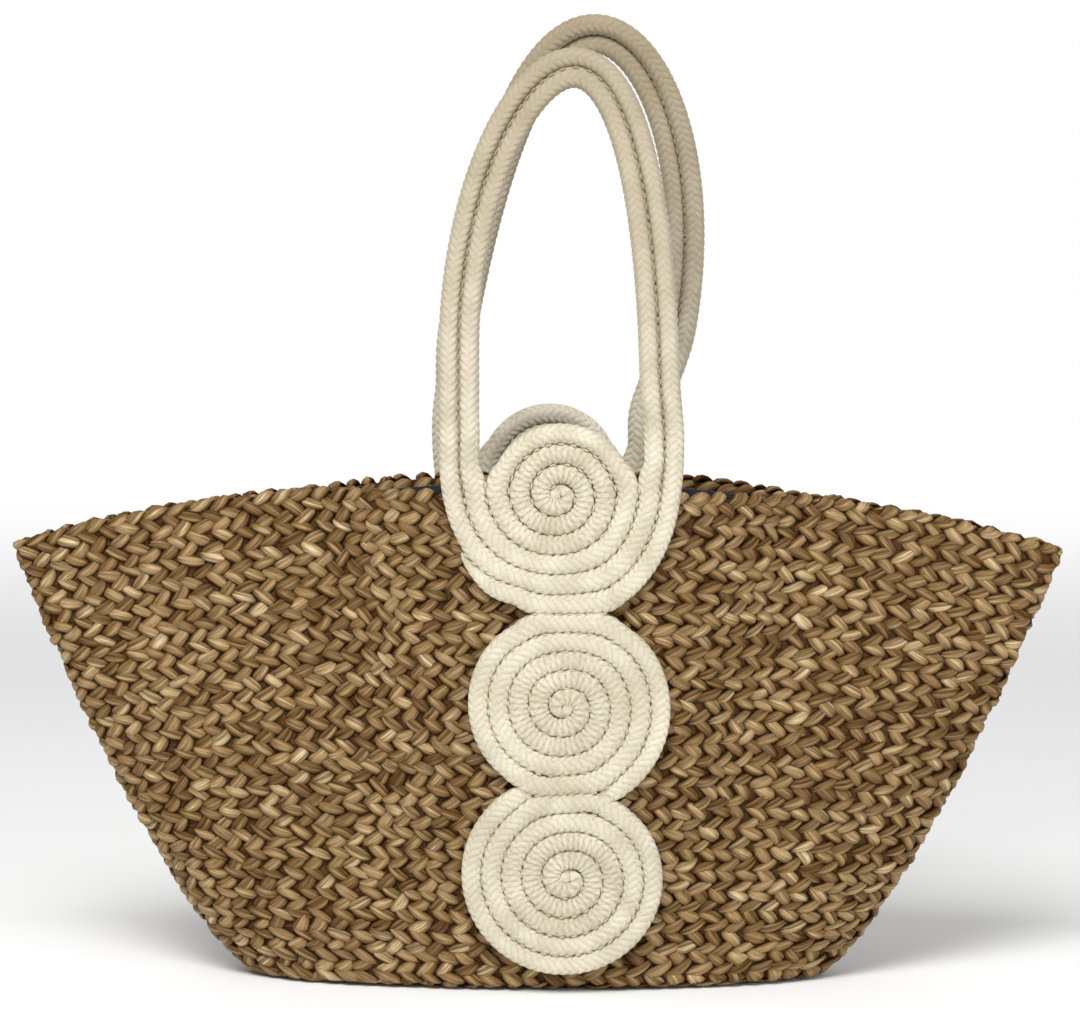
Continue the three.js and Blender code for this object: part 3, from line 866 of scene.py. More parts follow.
def joined(names):
    """One line through several CAD ropes, each turned to start where the last one ends, and the
    places in it where one rope hands over to the next."""
    lines = [solid_line(name) for name in names]
    ends = [min(np.linalg.norm(end - p) for p in lines[1][[0, -1]]) for end in lines[0][[0, -1]]]
    line = lines[0] if ends[1] <= ends[0] else lines[0][::-1]
    meets = []
    for more in lines[1:]:
        turned = np.linalg.norm(more[0] - line[-1]) > np.linalg.norm(more[-1] - line[-1])
        more = more[::-1] if turned else more
        meets.append(len(line) - 1)
        line = np.vstack([line[:-1], more[1:]])
    return line, meets


def plane_out(points, out):
    """The arrow square to the plane in which points lie, on the side of the out arrow."""
    arrow = np.linalg.svd(points - points.mean(axis=0))[2][-1]
    return arrow * np.sign(arrow @ out)


def run_on(line, out, radii, step):
    """Points that lead on to the start of a line, one a step, on a curve with the given radii. It
    bends the way the line does there."""
    heading, before = unit(line[0] - line[1]), unit(line[1] - line[2])
    bend = np.sign(np.dot(heading - before, np.cross(out, heading)))
    place, points = line[0], []
    for radius in radii:
        turn = bend * step / radius
        heading = heading * math.cos(turn) + np.cross(out, heading) * math.sin(turn)
        place = place + heading * step
        points.append(place)
    return np.array(points[::-1])


def curl_radii():
    """The radii of a winding on the way from its first place in to its middle."""
    growth, away, radii = coil_pitch / (2 * math.pi), coil_start, []
    while away > curl_core:
        slant = away**2 + growth**2
        radii.append(slant**1.5 / (slant + growth**2))
        away -= curl_step * growth / math.sqrt(slant)
    return radii + [curl_core] * round(curl_overrun / curl_step)


def even_line(line):
    """A smooth curve through the points, at even steps, the distance run, and that of each point."""
    padded = np.vstack([2 * line[0] - line[1], line, 2 * line[-1] - line[-2]])
    t = np.linspace(0, 1, curve_fineness, endpoint=False)[:, None]
    parts = []
    for i in range(1, len(padded) - 2):
        a, b, c, d = padded[i - 1 : i + 3]
        bow = (2 * a - 5 * b + 4 * c - d) * t**2 / 2 + (3 * b - a - 3 * c + d) * t**3 / 2
        parts.append(b + (c - a) * t / 2 + bow)
    fine = np.vstack([*parts, line[-1:]])
    along = np.concatenate([[0], np.cumsum(np.linalg.norm(np.diff(fine, axis=0), axis=1))])
    run = np.linspace(0, along[-1], max(2, round(along[-1] / rope_step)) + 1)
    points = np.stack([np.interp(run, along, fine[:, k]) for k in range(3)], 1)
    return points, run, along[::curve_fineness]


def beside_wrap(line, meets):
    """The thinning end of the rope: it follows the wrap, and closes up to it as it thins."""
    wrap, _, _ = even_line(line[meets[1] : meets[2]])
    start = np.linalg.norm(wrap - line[-1], axis=1).argmin()
    picked = start + np.linspace(tail_lead, tail_lead + tail_length, tail_steps) / rope_step
    picked = np.round(picked).astype(int)
    ahead = wrap[picked + 1] - wrap[picked - 1]
    square_to = unit(np.cross(np.cross(ahead, line[-1] - wrap[start]), ahead))
    thinned = 1 - (1 - tail_share) * np.linspace(tail_lead / tail_fade, 1, tail_steps)
    return wrap[picked] + square_to * rope_radius * (1 + thinned[:, None])


def steady(values, window):
    """A moving average that keeps the ends."""
    padded = np.pad(values, window, mode="edge")
    return np.convolve(padded, np.ones(2 * window + 1) / (2 * window + 1), mode="valid")


def share_of(values, reach):
    """How far values have come along a reach, from 0 to 1."""
    return np.clip((values - reach[0]) / np.ptp(reach), 0, 1)


def eased(share):
    return share * share * (3 - 2 * share)


def whole_rope(raw, out, meets=None):
    """A rope with its curled start and its thin end. With meets, it is the handle's rope, whose
    end lies beside the wrap. The distances run at its first points come with it."""
    curl = run_on(raw, plane_out(raw[:curl_sample], out), curl_radii(), curl_step)
    if meets:
        tail, fade_length = beside_wrap(raw, meets), tail_fade
        to_end = np.cumsum(np.linalg.norm(np.diff(raw[::-1], axis=0), axis=1))
        raw = raw[: -1 - np.searchsorted(to_end, tail_trim)]
    else:
        back, radii = raw[::-1], [coil_tail_radius] * tail_steps
        arrow = plane_out(back[:coil_tail_sample], out)
        tail = run_on(back, arrow, radii, coil_tail_length / tail_steps)[::-1]
        fade_length = coil_tail_fade
    points, run, point_runs = even_line(np.vstack([curl, raw, tail]))
    fade = np.clip((run - run[-1] + fade_length) / fade_length, 0, 1)
    softly = np.clip((run - run[-1] + soft_end) / soft_end * 3, 0, 1)[:, None]
    softer = np.stack([steady(points[:, k], soft_window) for k in range(3)], 1)
    points = points + (softer - points) * softly
    first_turn = points[(run > first_turn_reach[0]) & (run < first_turn_reach[1])]
    line = {"points": points, "run": run, "out": out, "middle": first_turn.mean(axis=0)}
    line["swell"] = 1 - (1 - tail_share) * fade**1.3
    return line, point_runs[len(curl) :]


def look_beside(lines, out):
    """Gives each line its tangents, its arrows across it, and on either side the distance to the
    next rope, that rope's fullness, and how much nearer to the viewer one of the two lies."""
    for index, line in enumerate(lines):
        line["owner"] = np.full(len(line["run"]), index)
    others, runs, fullness, owner = (
        np.concatenate([line[column][::look_thinning] for line in lines])
        for column in ("points", "run", "swell", "owner")
    )
    for line in lines:
        points, run = line["points"], line["run"]
        tangent = unit(np.gradient(points, axis=0))
        across = unit(np.cross(out, tangent))
        away = np.full((2, len(points)), np.inf)
        beyond, offset = np.ones((2, len(points))), np.zeros((2, len(points)))
        for start in range(0, len(points), look_batch):
            part = slice(start, start + look_batch)
            delta = others[None] - points[part, None]
            ahead = np.einsum("ijk,ik->ij", delta, tangent[part])
            beside = np.einsum("ijk,ik->ij", delta, across[part])
            close_run = np.abs(runs[None] - run[part, None]) < own_reach
            itself = (owner == line["owner"][0])[None] & close_run
            behind = np.abs(delta @ out)
            near = (np.abs(ahead) < look_ahead) & ~itself & (behind < look_behind)
            for k, way in enumerate((1, -1)):
                there = np.where(near & (beside * way > look_nearest), beside * way, np.inf)
                nearest = there.argmin(axis=1)
                away[k, part] = there.min(axis=1)
                beyond[k, part] = fullness[nearest]
                offset[k, part] = behind[np.arange(len(nearest)), nearest]
        line.update(tangent=tangent, across=across, away=away, beyond=beyond, offset=offset)


def draw_together(lines, out):
    """Moves ropes that nearly touch up to each other, the thinner one the further."""
    look_beside(lines, out)
    for line in lines:
        pull = np.zeros(len(line["run"]))
        for away, beyond, way in zip(line["away"], line["beyond"], (1, -1)):
            both = line["swell"] + beyond
            space = np.where(np.isfinite(away), away, 1.0) - rope_radius * both
            tight = 1 - eased(share_of(space, draw_reach))
            pull += way * np.maximum(space, 0) * tight * beyond / both
        pull *= share_of(line["run"], free_run)
        pull = steady(np.clip(pull, -draw_most, draw_most), draw_window)
        line["points"] = line["points"] + line["across"] * pull[:, None]


def press_together(lines, out):
    """Gives each line its half widths, so that ropes side by side meet."""
    look_beside(lines, out)
    for line in lines:
        bend = np.gradient(line["tangent"], axis=0)
        bend = np.einsum("ij,ij->i", bend, line["across"]) / rope_step
        widths = []
        for k, way in enumerate((1, -1)):
            away, both = line["away"][k], line["swell"] + line["beyond"][k]
            loose = eased(share_of(away, pressed_reach))
            aside = np.clip(line["offset"][k] / 2 / rope_crown, 0, aside_most)
            narrower = (1 - aside**round_square) ** (1 / round_square)
            met = np.where(np.isfinite(away), away, 1.0) / both / narrower + rope_press
            width = np.clip(met, *width_limits) * (1 - loose) + rope_radius * loose
            limit = steady(inside_share / np.maximum(bend * way, 1.0), limit_window)
            widths.append(np.minimum(steady(width, width_window), limit))
        line.update(left=widths[0], right=widths[1])


def strand_relief(run, spin, roll):
    """How deep a place lies between the strands, 0 on top of one and 1 in the gap beside it, and
    where it lies across its strand. Strands lean left and right in columns along the rope."""
    toward, beyond, _ = split(run.tree, spin)
    turn = beyond.work("ARCTAN2", toward) / (2 * math.pi)
    column = turn * strand_columns + roll
    across = column.work("FRACT") - 0.5
    odd = (column / 2).work("FRACT").work("GREATER_THAN", 0.4999)
    lay = run / strand_pitch + (odd * 2 - 1) * across * strand_slant + odd * 0.5
    beside = lay.work("FRACT") - 0.5
    crest = 1 - abs(beside * 2) ** 2.2
    crown = 1 - abs(across * 2) ** 2.6
    depth = abs(beyond) ** 1.5 * (side_depth - crown_depth) + crown_depth
    return (1 - crest * (crown * 0.5 + 0.5)) * depth, beside, turn


def rope_tree():
    """Sweeps a ring along a line and gives it the rope's flattened section and its strands."""
    sizes = {"Crown": "Float", "Depth": "Float", "Sides": "Int", "Cotton": "Material"}
    tree, given, output = new_tree("plaited_rope", sizes)
    out, across, heart, spin = (
        named(tree, name, "FLOAT_VECTOR") for name in ("out", "across", "heart", "spin")
    )
    here = add_node(tree, "GeometryNodeInputPosition").outputs[0]
    line = add_node(tree, "GeometryNodeMeshToCurve", {0: given["Geometry"]}).outputs[0]
    lay = {"Curve": line, "Normal": out}
    line = add_node(tree, "GeometryNodeSetCurveNormal", lay, mode="FREE").outputs[0]
    line = store(tree, line, "heart", here, "FLOAT_VECTOR")
    ring = add_node(tree, "GeometryNodeCurvePrimitiveCircle", {0: given["Sides"], 4: 1.0})
    turn = Reading(tree, add_node(tree, "GeometryNodeInputIndex").outputs[0]) / given["Sides"]
    turn = turn * (2 * math.pi)
    around = combine(tree, turn.work("COSINE"), turn.work("SINE"), 0.0)
    ring = store(tree, ring.outputs[0], "spin", around, "FLOAT_VECTOR")
    sweep = {"Curve": line, "Profile Curve": ring, "Fill Caps": True}
    tube = add_node(tree, "GeometryNodeCurveToMesh", sweep).outputs[0]
    spoke = vector_work(tree, "SUBTRACT", here, heart).outputs[0]
    spoke = vector_work(tree, "NORMALIZE", spoke).outputs[0]

    def along_spoke(arrow):
        return Reading(tree, vector_work(tree, "DOT_PRODUCT", spoke, arrow).outputs["Value"])

    rise = abs(along_spoke(out))
    wide = (1 - rise * rise).work("MAXIMUM", 0.0) ** 0.5
    right, square = number(tree, "right"), number(tree, "square")
    half = right + (number(tree, "left") - right) * along_spoke(across).work("GREATER_THAN", 0.0)
    body = (rise / given["Crown"]) ** square + (wide / half) ** square
    relief, _, _ = strand_relief(number(tree, "run"), spin, number(tree, "roll"))
    reach = (body ** (-1 / square) - relief * given["Depth"]) * number(tree, "swell")
    spoke = vector_work(tree, "SCALE", spoke, scale=reach).outputs[0]
    placed = vector_work(tree, "ADD", heart, spoke).outputs[0]
    finish_tree(tree, move_points(tree, tube, placed), given["Cotton"], output)
    return tree


def cotton_material():
    material, tree, shader = new_material("cotton_rope", roughness=0.9, specular=0.1)
    shader.inputs["Sheen Weight"].default_value = 0.2
    shader.inputs["Sheen Roughness"].default_value = 0.5
    run = told(tree, "run")
    relief, beside, turn = strand_relief(run, told(tree, "spin", "Vector"), told(tree, "roll"))
    cloud = noise(tree, place_on(tree), scale=70.0, detail=3.0)
    fluff = noise(tree, place_on(tree), scale=1100.0, detail=4.0, roughness=0.75)
    yarn_place = combine(tree, beside * 8, run * 300, turn * 26)
    yarns = noise(tree, yarn_place, scale=1.0, detail=2.0)
    shade = cloud * 0.55 + fluff * 0.45
    colour = ramp(tree, shade, ((0.36, paint(190, 183, 160)), (0.62, paint(223, 216, 197))))
    # round the middle of a medallion the bent rope puckers; the gaps between strands and the puckers'
    # creases are painted darker, as shade, with a little random fluff tone
    wound = 1 - (run / pucker_reach).work("MINIMUM", 1.0)
    pucker = (run * (2 * math.pi / pucker_pitch) + fluff * 2 + cloud * 5).work("SINE")
    pucker = ((pucker + 1) * 0.5) ** 3 * (wound**0.5)
    # painted shade in the strand gaps and pucker creases, plus a little fluff tone
    deep = relief.work("MINIMUM", 1.0) ** 2.2 * 0.46 + (1 - fluff) * 0.12 + pucker * 0.38
    colour = blend_colours(tree, deep, colour, paint(172, 154, 120))
    # painted shade: the handles are darker towards their tops, and the rear handle more
    colour = blend_colours(tree, told(tree, "held"), colour, paint(146, 130, 103))
    connect(tree, colour, shader.inputs["Base Color"])
    height = yarns * 0.5 + fluff * 0.9 + cloud - relief * 0.8 - pucker * 1.5
    bump(tree, shader, height, strength=0.6, distance=0.0006)
    return material


rope = rope_tree()
cotton = cotton_material()


def rope_piece(name, line, first, last, tips):
    """A stretch of rope; tips says which of its two ends are the rope's own. An end that isn't
    runs on a little inside the next stretch."""
    more = len(hidden_ends)
    part = slice(first - more * (not tips[0]), last + 1 + more * (not tips[1]))
    run, points, swell = (line[column][part] for column in ("run", "points", "swell"))
    swell = swell.copy()
    if not tips[0]:
        swell[:more] *= hidden_ends[::-1]
    if not tips[1]:
        swell[-more:] *= hidden_ends
    for tip, distance in zip(tips, (run - run[0], run[-1] - run)):
        if tip:
            near_end = np.clip(1 - distance / end_round, 0, 1)
            swell *= np.sqrt(np.maximum(0.0004, 1 - near_end**2.4))
    height = points[:, 2]
    kept = {
        "run": run,
        "swell": swell,
        "left": line["left"][part],
        "right": line["right"][part],
        "square": flat_square + (round_square - flat_square) * share_of(height, round_reach),
        "roll": 0.5 * (1 - eased(share_of(height, leg_turn))),
        # painted shade on the handles, growing towards their tops, the rear one more
        "held": handle_shade_most[name.split("_")[0]] * share_of(height, handle_shade_reach) ** 0.6,
        "out": np.tile(line["out"], (len(points), 1)),
        "across": line["across"][part],
    }
    edges = [(i, i + 1) for i in range(len(points) - 1)]
    mesh = new_mesh(name, points, edges, **kept)
    sizes = {"Crown": rope_crown, "Depth": strand_depth, "Sides": rope_sides, "Cotton": cotton}
    piece = grown(name, put(name + "_line", mesh), rope, sizes)
    return piece


def ride_handle(piece):
    """Bakes the piece's place into its mesh; the piece stays on no body."""
    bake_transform(piece)


bag_sides = (("front", -1.0), ("rear", 1.0))
handle_rope = ("top_coil", "handle_inner_rope", "leg_wrap", "handle_outer_rope", "neck_rope")
lower_coils = ("middle_coil", "bottom_coil")
rope_lines = {}
for side_name, side in bag_sides:
    out = np.array([0.0, side, 0.0])
    line, meets = joined([f"{side_name}_{part}" for part in handle_rope])
    handle_line, point_runs = whole_rope(line, out, meets)
    made = [handle_line]
    for coil in (solid_line(f"{side_name}_{part}") for part in lower_coils):
        # a winding starts at the end that is nearer to its middle
        turned = np.ptp(coil[:side_sample, 0]) >= np.ptp(coil[-side_sample:, 0])
        made.append(whole_rope(coil[::-1] if turned else coil, out)[0])
    for _ in range(draw_rounds):
        draw_together(made, out)
    press_together(made, out)
    rope_lines[side_name] = made
    heights, run = handle_line["points"][:, 2], handle_line["run"]
    crossings = np.flatnonzero(np.diff((heights > rope_cut).astype(int)) != 0)
    cuts = [crossings[np.argmin(np.abs(run[crossings] - point_runs[meet]))] for meet in meets]
    stops = [0, *cuts, len(run) - 1]
    handle_line["on_handle"] = [(cuts[0], cuts[1]), (cuts[2], cuts[3])]
    for part, first, last in zip(handle_rope, stops[:-1], stops[1:]):
        tips = (first == 0, last == len(run) - 1)
        piece = rope_piece(f"{side_name}_{part}_cotton", handle_line, first, last, tips)
        if "handle" in part:
            ride_handle(piece)
        else:
            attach(piece, "bag")
        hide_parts(f"{side_name}_{part}")
    for part, coil in zip(lower_coils, made[1:]):
        last = len(coil["run"]) - 1
        piece = rope_piece(f"{side_name}_{part}_cotton", coil, 0, last, (True, True))
        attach(piece, "bag")
        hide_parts(f"{side_name}_{part}")
    print(side_name, "rope lengths", [round(float(coil["run"][-1]), 3) for coil in made])


# Stitches: one row of short thread lengths lies in each groove between two turns of a medallion,
# and one on each face of a handle, in the seam between its two ropes.
stitch_pitch = 0.0048
stitch_length = 0.0031
stitch_radius = 0.00042
stitch_dive = 0.0009
stitch_reach = 0.0136
stitch_free_ends = (6, 8)
stitch_stations = 7
groove_depth = 0.68
thread_sides = 6


def stitch_shape():
    """A thread length that dives into the rope at both ends."""
    turns = np.arange(thread_sides) * 2 * math.pi / thread_sides
    rings = []
    for t in np.linspace(-1, 1, stitch_stations):
        radius, sag = stitch_radius * (1 - 0.5 * t**6), -stitch_dive * t**4
        along = np.full(thread_sides, t * stitch_length / 2)
        rings.append(np.stack([along, radius * np.cos(turns), sag + radius * np.sin(turns)], 1))
    return rolled("stitch_shape", rings)


def thread_material(name, dark, light):
    material, tree, shader = new_material(name, roughness=0.75, specular=0.25)
    twist = noise(tree, place_on(tree), scale=3000.0, detail=2.0)
    connect(tree, ramp(tree, twist, ((0.3, dark), (0.7, light))), shader.inputs["Base Color"])
    bump(tree, shader, twist, strength=0.4, distance=0.0002)
    return material


def stitch_tree():
    tree, given, output = new_tree("stitches", {"Shape": "Object", "Thread": "Material"})
    shape = add_node(tree, "GeometryNodeObjectInfo", {"Object": given["Shape"]}).outputs["Geometry"]
    lay = {"Points": given["Geometry"], "Instance": shape}
    lay["Rotation"] = named(tree, "laid", "FLOAT_VECTOR")
    laid = add_node(tree, "GeometryNodeInstanceOnPoints", lay).outputs[0]
    finish_tree(tree, laid, given["Thread"], output)
    return tree


stitch_object = put("stitch_shape", stitch_shape())
stitches = stitch_tree()
cream_thread = thread_material("sewing_thread", paint(184, 169, 135), paint(220, 208, 178))
# the handle seams get a darker thread, which goes with the painted shade on the handles
darker_handle_thread = thread_material("handle_thread", paint(140, 122, 92), paint(182, 166, 134))


def sewn(name, places, ways, outs, slot, thread):
    """A row of stitches at places, each along its way with its back to its out arrow."""
    turns = []
    for way, out in zip(ways, outs):
        axes = np.stack([way, np.cross(out, way), out], 1)
        turns.append(Matrix(axes.tolist()).to_euler())
    points = put(name + "_points", new_mesh(name, places, laid=turns))
    piece = grown(name, points, stitches, {"Shape": stitch_object, "Thread": thread})
    return piece


for side_name, side in bag_sides:
    bag_rows, handle_rows = [], []
    for line in rope_lines[side_name]:
        points, across, run = line["points"], line["across"], line["run"]
        first_turn = (run > first_turn_reach[0]) & (run < first_turn_reach[1])
        outward = np.einsum("ij,ij->i", points - line["middle"], across)[first_turn].mean()
        k, way, width = (0, 1, line["left"]) if outward > 0 else (1, -1, line["right"])
        spans = line.get("on_handle", [])
        first, last = stitch_free_ends[0], len(run) - stitch_free_ends[1]
        picked = np.arange(first, last, round(stitch_pitch / rope_step))
        for i in picked[line["away"][k][picked] < stitch_reach]:
            seam = points[i] + across[i] * way * (width[i] * line["swell"][i] - rope_press)
            tangent = line["tangent"][i]
            on_handle = any(start < i < stop for start, stop in spans)
            for face in (1, -1) if on_handle else (1,):
                back = line["out"] * face
                back = unit(back - tangent * np.dot(back, tangent))
                row = (seam + back * rope_crown * groove_depth, tangent, back)
                (handle_rows if on_handle else bag_rows).append(row)
    print(side_name, "stitches", len(bag_rows), len(handle_rows))
    piece = sewn(f"{side_name}_medallion_stitches", *zip(*bag_rows), "cotton_rope", cream_thread)
    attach(piece, "bag")
    piece = sewn(f"{side_name}_handle_stitches", *zip(*handle_rows), "cotton_rope", darker_handle_thread)
    ride_handle(piece)

# Lining: a loose pouch of dark cotton cloth. Its mouth is folded under and sewn to the braid just
# below the rim, and its sides hang in soft folds.
lining_inset = 0.0052
lining_full = 0.0009
lining_thickness = 0.0009
lining_foot = 0.0056
lining_folds = ((5, 0.0, 0.5), (11, 1.3, 0.32), (23, 4.1, 0.18))
lining_rings = 46
floor_backs = (0.0008, 0.004, 0.015, 0.03, 0.0395)
floor_drop = 0.0004
floor_inset = 0.0002
hem_inset = 0.0064
hem_drop = 0.0062
hem_height = 0.009
hem_swell = 0.0005
hem_edge = 0.001
hem_lean = 0.05


def cloth_folds(count, level):
    """How far the cloth stands off, round a ring: soft folds that fade out at the hem and the foot."""
    angles = np.arange(count) / count * 2 * math.pi
    wave = sum(share * np.sin(k * angles + phase + 2 * level) for k, phase, share in lining_folds)
    return lining_full * (wave + 1) * math.sin(math.pi * level) ** 0.6


def inward(ring, distance):
    """The ring moved in by a distance that may change along it."""
    ahead = np.roll(ring, -1, 0) - np.roll(ring, 1, 0)
    side_way = unit(np.stack([-ahead[:, 1], ahead[:, 0], np.zeros(len(ring))], 1))
    return ring + side_way * np.broadcast_to(distance, len(ring))[:, None]


def pouch_skin(extra):
    """One face of the lining, from its foot up to the fold of its hem."""
    rings = []
    low = lining_foot / rim_height
    for share in np.linspace(0, 1, lining_rings):
        from_top = (1 - share) * (rim_height - hem_drop - lining_foot)
        near_top = np.clip(1 - from_top / hem_lean, 0, 1) ** 1.5
        inset = lining_inset + (hem_inset - lining_inset) * near_top + extra
        if 0 < from_top < hem_height:
            inset += hem_swell * min(1.0, (hem_height - from_top) / hem_edge)
        level = low + share * (1 - (hem_drop + lining_foot) / rim_height)
        ring, _ = shell_ring(inset, level=level)
        rings.append(inward(ring, cloth_folds(ring_points, share)))
    return rings


def place_in_panel(ring):
    """Where the points of a ring lie on the front or rear panel of cloth: across from its middle,
    and up."""
    steps = np.linalg.norm(np.diff(ring, axis=0, append=ring[:1]), axis=1)
    run = np.cumsum(steps) - steps
    girth = steps.sum()
    panels = []
    for panel_side in (-1, 1):
        middle = run[np.argmin(np.abs(ring[:, 0]) + (ring[:, 1] * panel_side < 0))]
        panels.append((run - middle + girth / 2) % girth - girth / 2)
    return np.stack([np.where(ring[:, 1] < 0, *panels), ring[:, 2], 0 * run], 1)


def lining_material():
    """Plain weave: threads cross over and under, with slubs that run along them. It follows each
    point's place on the flat cloth."""
    material, tree, shader = new_material("lining_cloth", roughness=0.82, specular=0.2)
    shader.inputs["Sheen Weight"].default_value = 0.3
    shader.inputs["Sheen Roughness"].default_value = 0.4
    across, up, _ = split(tree, told(tree, "cut", "Vector"))
    weave = (across * 3800).work("SINE") * (up * 3800).work("SINE")
    slubs = noise(tree, combine(tree, across * 60, up * 900, 0.0), scale=1.0, detail=2.0)
    cloud = noise(tree, place_on(tree), scale=30.0, detail=2.0)
    shade = weave * 0.12 + slubs * 0.5 + cloud * 0.4 + 0.05
    stops = ((0.25, paint(25, 26, 34)), (0.75, paint(45, 47, 58)))
    connect(tree, ramp(tree, shade, stops), shader.inputs["Base Color"])
    bump(tree, shader, weave + slubs, strength=0.5, distance=0.0003)
    return material


lining_cloth = lining_material()
outer_skin, inner_skin = pouch_skin(0.0), pouch_skin(lining_thickness)
walls = outer_skin + inner_skin[::-1]
floor_rings = [shell_ring(lining_inset + back, height=lining_foot)[0] for back in floor_backs]
lining_under = [ring - [0, 0, floor_drop] for ring in floor_rings[::-1]]
lining_over = [inward(ring, floor_inset) + [0, 0, lining_thickness] for ring in floor_rings]
walls_cut = [place_in_panel(ring) for ring in walls]
cut = np.concatenate(lining_under + walls_cut + lining_over)
lining = put("lining", rolled("lining", lining_under + walls + lining_over, cut=cut))
lining.data.materials.append(lining_cloth)
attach(lining, "bag")
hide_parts("lining_wall", "lining_base")


# Slip pocket: a patch of the same cloth on the rear wall, sewn at its sides and foot, with a wide
# hem at its mouth, which gapes a little.
pocket_grid = (60, 46)
pocket_stand = 0.0076
pocket_gape = 0.0022
pocket_thickness = 0.0011
pocket_hem = 0.014
pocket_hem_swell = 0.0005
pocket_round = 0.012
pocket_seam = 0.0022
pocket_pucker = 0.00022
pucker_waves = (90, 70)
pucker_fade = 0.01
loose_from = (0.02, 0.03)
seam_corner = (0.1, 0.12)
seam_top = 0.995
cloth_stitch_pitch = 0.0036
stitch_stand = 0.0001
depth_rounds = 8


def wall_depth(x, z):
    """Half depth of the shell's outside at a place on it."""
    level = min(1.0, z / rim_height)
    for _ in range(depth_rounds):
        half = base_length / 2 + (mouth_length - base_length) / 2 * level**flare_power
        across = max(-1.0, min(1.0, x / half))
        level = min(1.0, z / float(rim_height_at(across)))
    _, depth = shell_place(np.array([across]), np.array([1.0]), np.array([level]), 0.0)
    return float(depth[0])


class Patch:
    """A patch of cloth on the wall: where it lies, and how far it stands off what is behind it."""

    def __init__(self, node, side, thickness, corner, depth_at, shape):
        self.low, self.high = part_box(node)
        self.side, self.thickness, self.corner = side, thickness, corner
        self.depth_at, self.shape = depth_at, shape
        self.width, self.height = self.high.x - self.low.x, self.high.z - self.low.z

    def place(self, u, v, face):
        """A point of the face towards the room inside (1) or the wall (0)."""
        from_side, from_foot = min(u, 1 - u) * self.width, v * self.height
        x, z = self.low.x + u * self.width, self.low.z + v * self.height
        if from_side < self.corner and from_foot < self.corner:
            reach = self.corner**2 - (self.corner - from_side) ** 2
            off = self.corner - math.sqrt(max(0.0, reach))
            z += off * (1 - from_foot / self.corner)
        depth = self.depth_at(x, z) - self.shape(u, v, from_side, from_foot)
        return (x, self.side * (depth - self.thickness * face), z)

    def mesh(self, name, columns, rows):
        places = [
            self.place(c / (columns - 1), r / (rows - 1), face)
            for face in (1, 0)
            for r in range(rows)
            for c in range(columns)
        ]
        count = columns * rows
        quads = []
        for r in range(rows - 1):
            for c in range(columns - 1):
                a, b = r * columns + c, (r + 1) * columns + c
                quads.append((a, a + 1, b + 1, b))
                quads.append((a + count, b + count, b + 1 + count, a + 1 + count))
        edge = [*range(columns), *range(2 * columns - 1, count, columns)]
        edge += [*range(count - 2, count - columns - 1, -1)]
        edge += [*range(count - 2 * columns, 0, -columns)]
        quads += [(a, a + count, b + count, b) for a, b in zip(edge, edge[1:] + edge[:1])]
        faces = [quad if self.side > 0 else quad[::-1] for quad in quads]
        cut = [(x, z, 0) for x, _, z in places]
        mesh = new_mesh(name, places, faces=faces, cut=cut)
        mesh.shade_smooth()
        return mesh

    def seam(self, corners):
        """Stitches along straight runs between places (u, v): their places, ways and backs."""
        rows = []
        for (u0, v0), (u1, v1) in zip(corners, corners[1:]):
            length = math.hypot((u1 - u0) * self.width, (v1 - v0) * self.height)
            count = max(1, round(length / cloth_stitch_pitch))
            for i in range(count):
                s = (i + 0.5) / count
                u, v = u0 + (u1 - u0) * s, v0 + (v1 - v0) * s
                ahead = (u + (u1 - u0) / count / 8, v + (v1 - v0) / count / 8)
                here, there = np.array(self.place(u, v, 1)), np.array(self.place(*ahead, 1))
                way = unit(there - here)
                back = np.array([0.0, -self.side, 0.0])
                back = unit(back - way * np.dot(way, back))
                rows.append((here + back * stitch_stand, way, back))
        return rows


def pocket_shape(u, v, from_side, from_foot):
    """The pocket lies down at its seams, swells between them, and gapes at its mouth."""
    loose = min(1.0, from_side / loose_from[0]) * min(1.0, from_foot / loose_from[1])
    sag = pocket_gape * loose * (0.35 + 0.65 * v**3) * math.sin(math.pi * u) ** 0.7
    hem = pocket_hem_swell if (1 - v) * pocket_height < pocket_hem else 0.0
    foot_pucker = math.sin(u * pucker_waves[0]) * math.exp(-from_foot / pucker_fade)
    side_pucker = math.sin(v * pucker_waves[1]) * math.exp(-from_side / pucker_fade)
    return sag + hem + pocket_pucker * (foot_pucker + side_pucker)


def off_wall(x, z):
    return wall_depth(x, z) - pocket_stand


pocket_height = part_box("slip_pocket")[1].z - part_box("slip_pocket")[0].z
pocket = Patch("slip_pocket", 1.0, pocket_thickness, pocket_round, off_wall, pocket_shape)
pocket_piece = put("pocket", pocket.mesh("pocket", *pocket_grid))
pocket_piece.data.materials.append(lining_cloth)
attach(pocket_piece, "bag")
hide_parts("slip_pocket")
side_seam, foot_seam = pocket_seam / pocket.width, pocket_seam / pocket.height
hem_line = 1 - pocket_hem / pocket.height
half_seam = [(side_seam, seam_top), (side_seam, seam_corner[1]), (seam_corner[0], foot_seam)]
cloth_seams = pocket.seam(half_seam + [(1 - u, v) for u, v in half_seam[::-1]])
cloth_seams += pocket.seam([(side_seam, hem_line), (1 - side_seam, hem_line)])

# Snap patches: a small square of the cloth on each side of the mouth, with its edges turned under
# and sewn all round. Each holds one half of the snap.
patch_thickness = 0.0012
patch_corner = 0.004
patch_border = 0.0026
patch_height = 0.026
patch_rise = 0.0003
patch_turn = 0.002
groove_width = 0.0006
patch_grid = (31, 27)


def patch_shape(u, v, from_side, from_foot):
    """Its edge is turned under, and a groove runs along the seam."""
    edge = min(from_side, from_foot, (1 - v) * patch_height)
    groove = math.exp(-(((edge - patch_border) / groove_width) ** 2))
    return patch_rise * min(1.0, edge / patch_turn) - patch_rise * groove - patch_rise


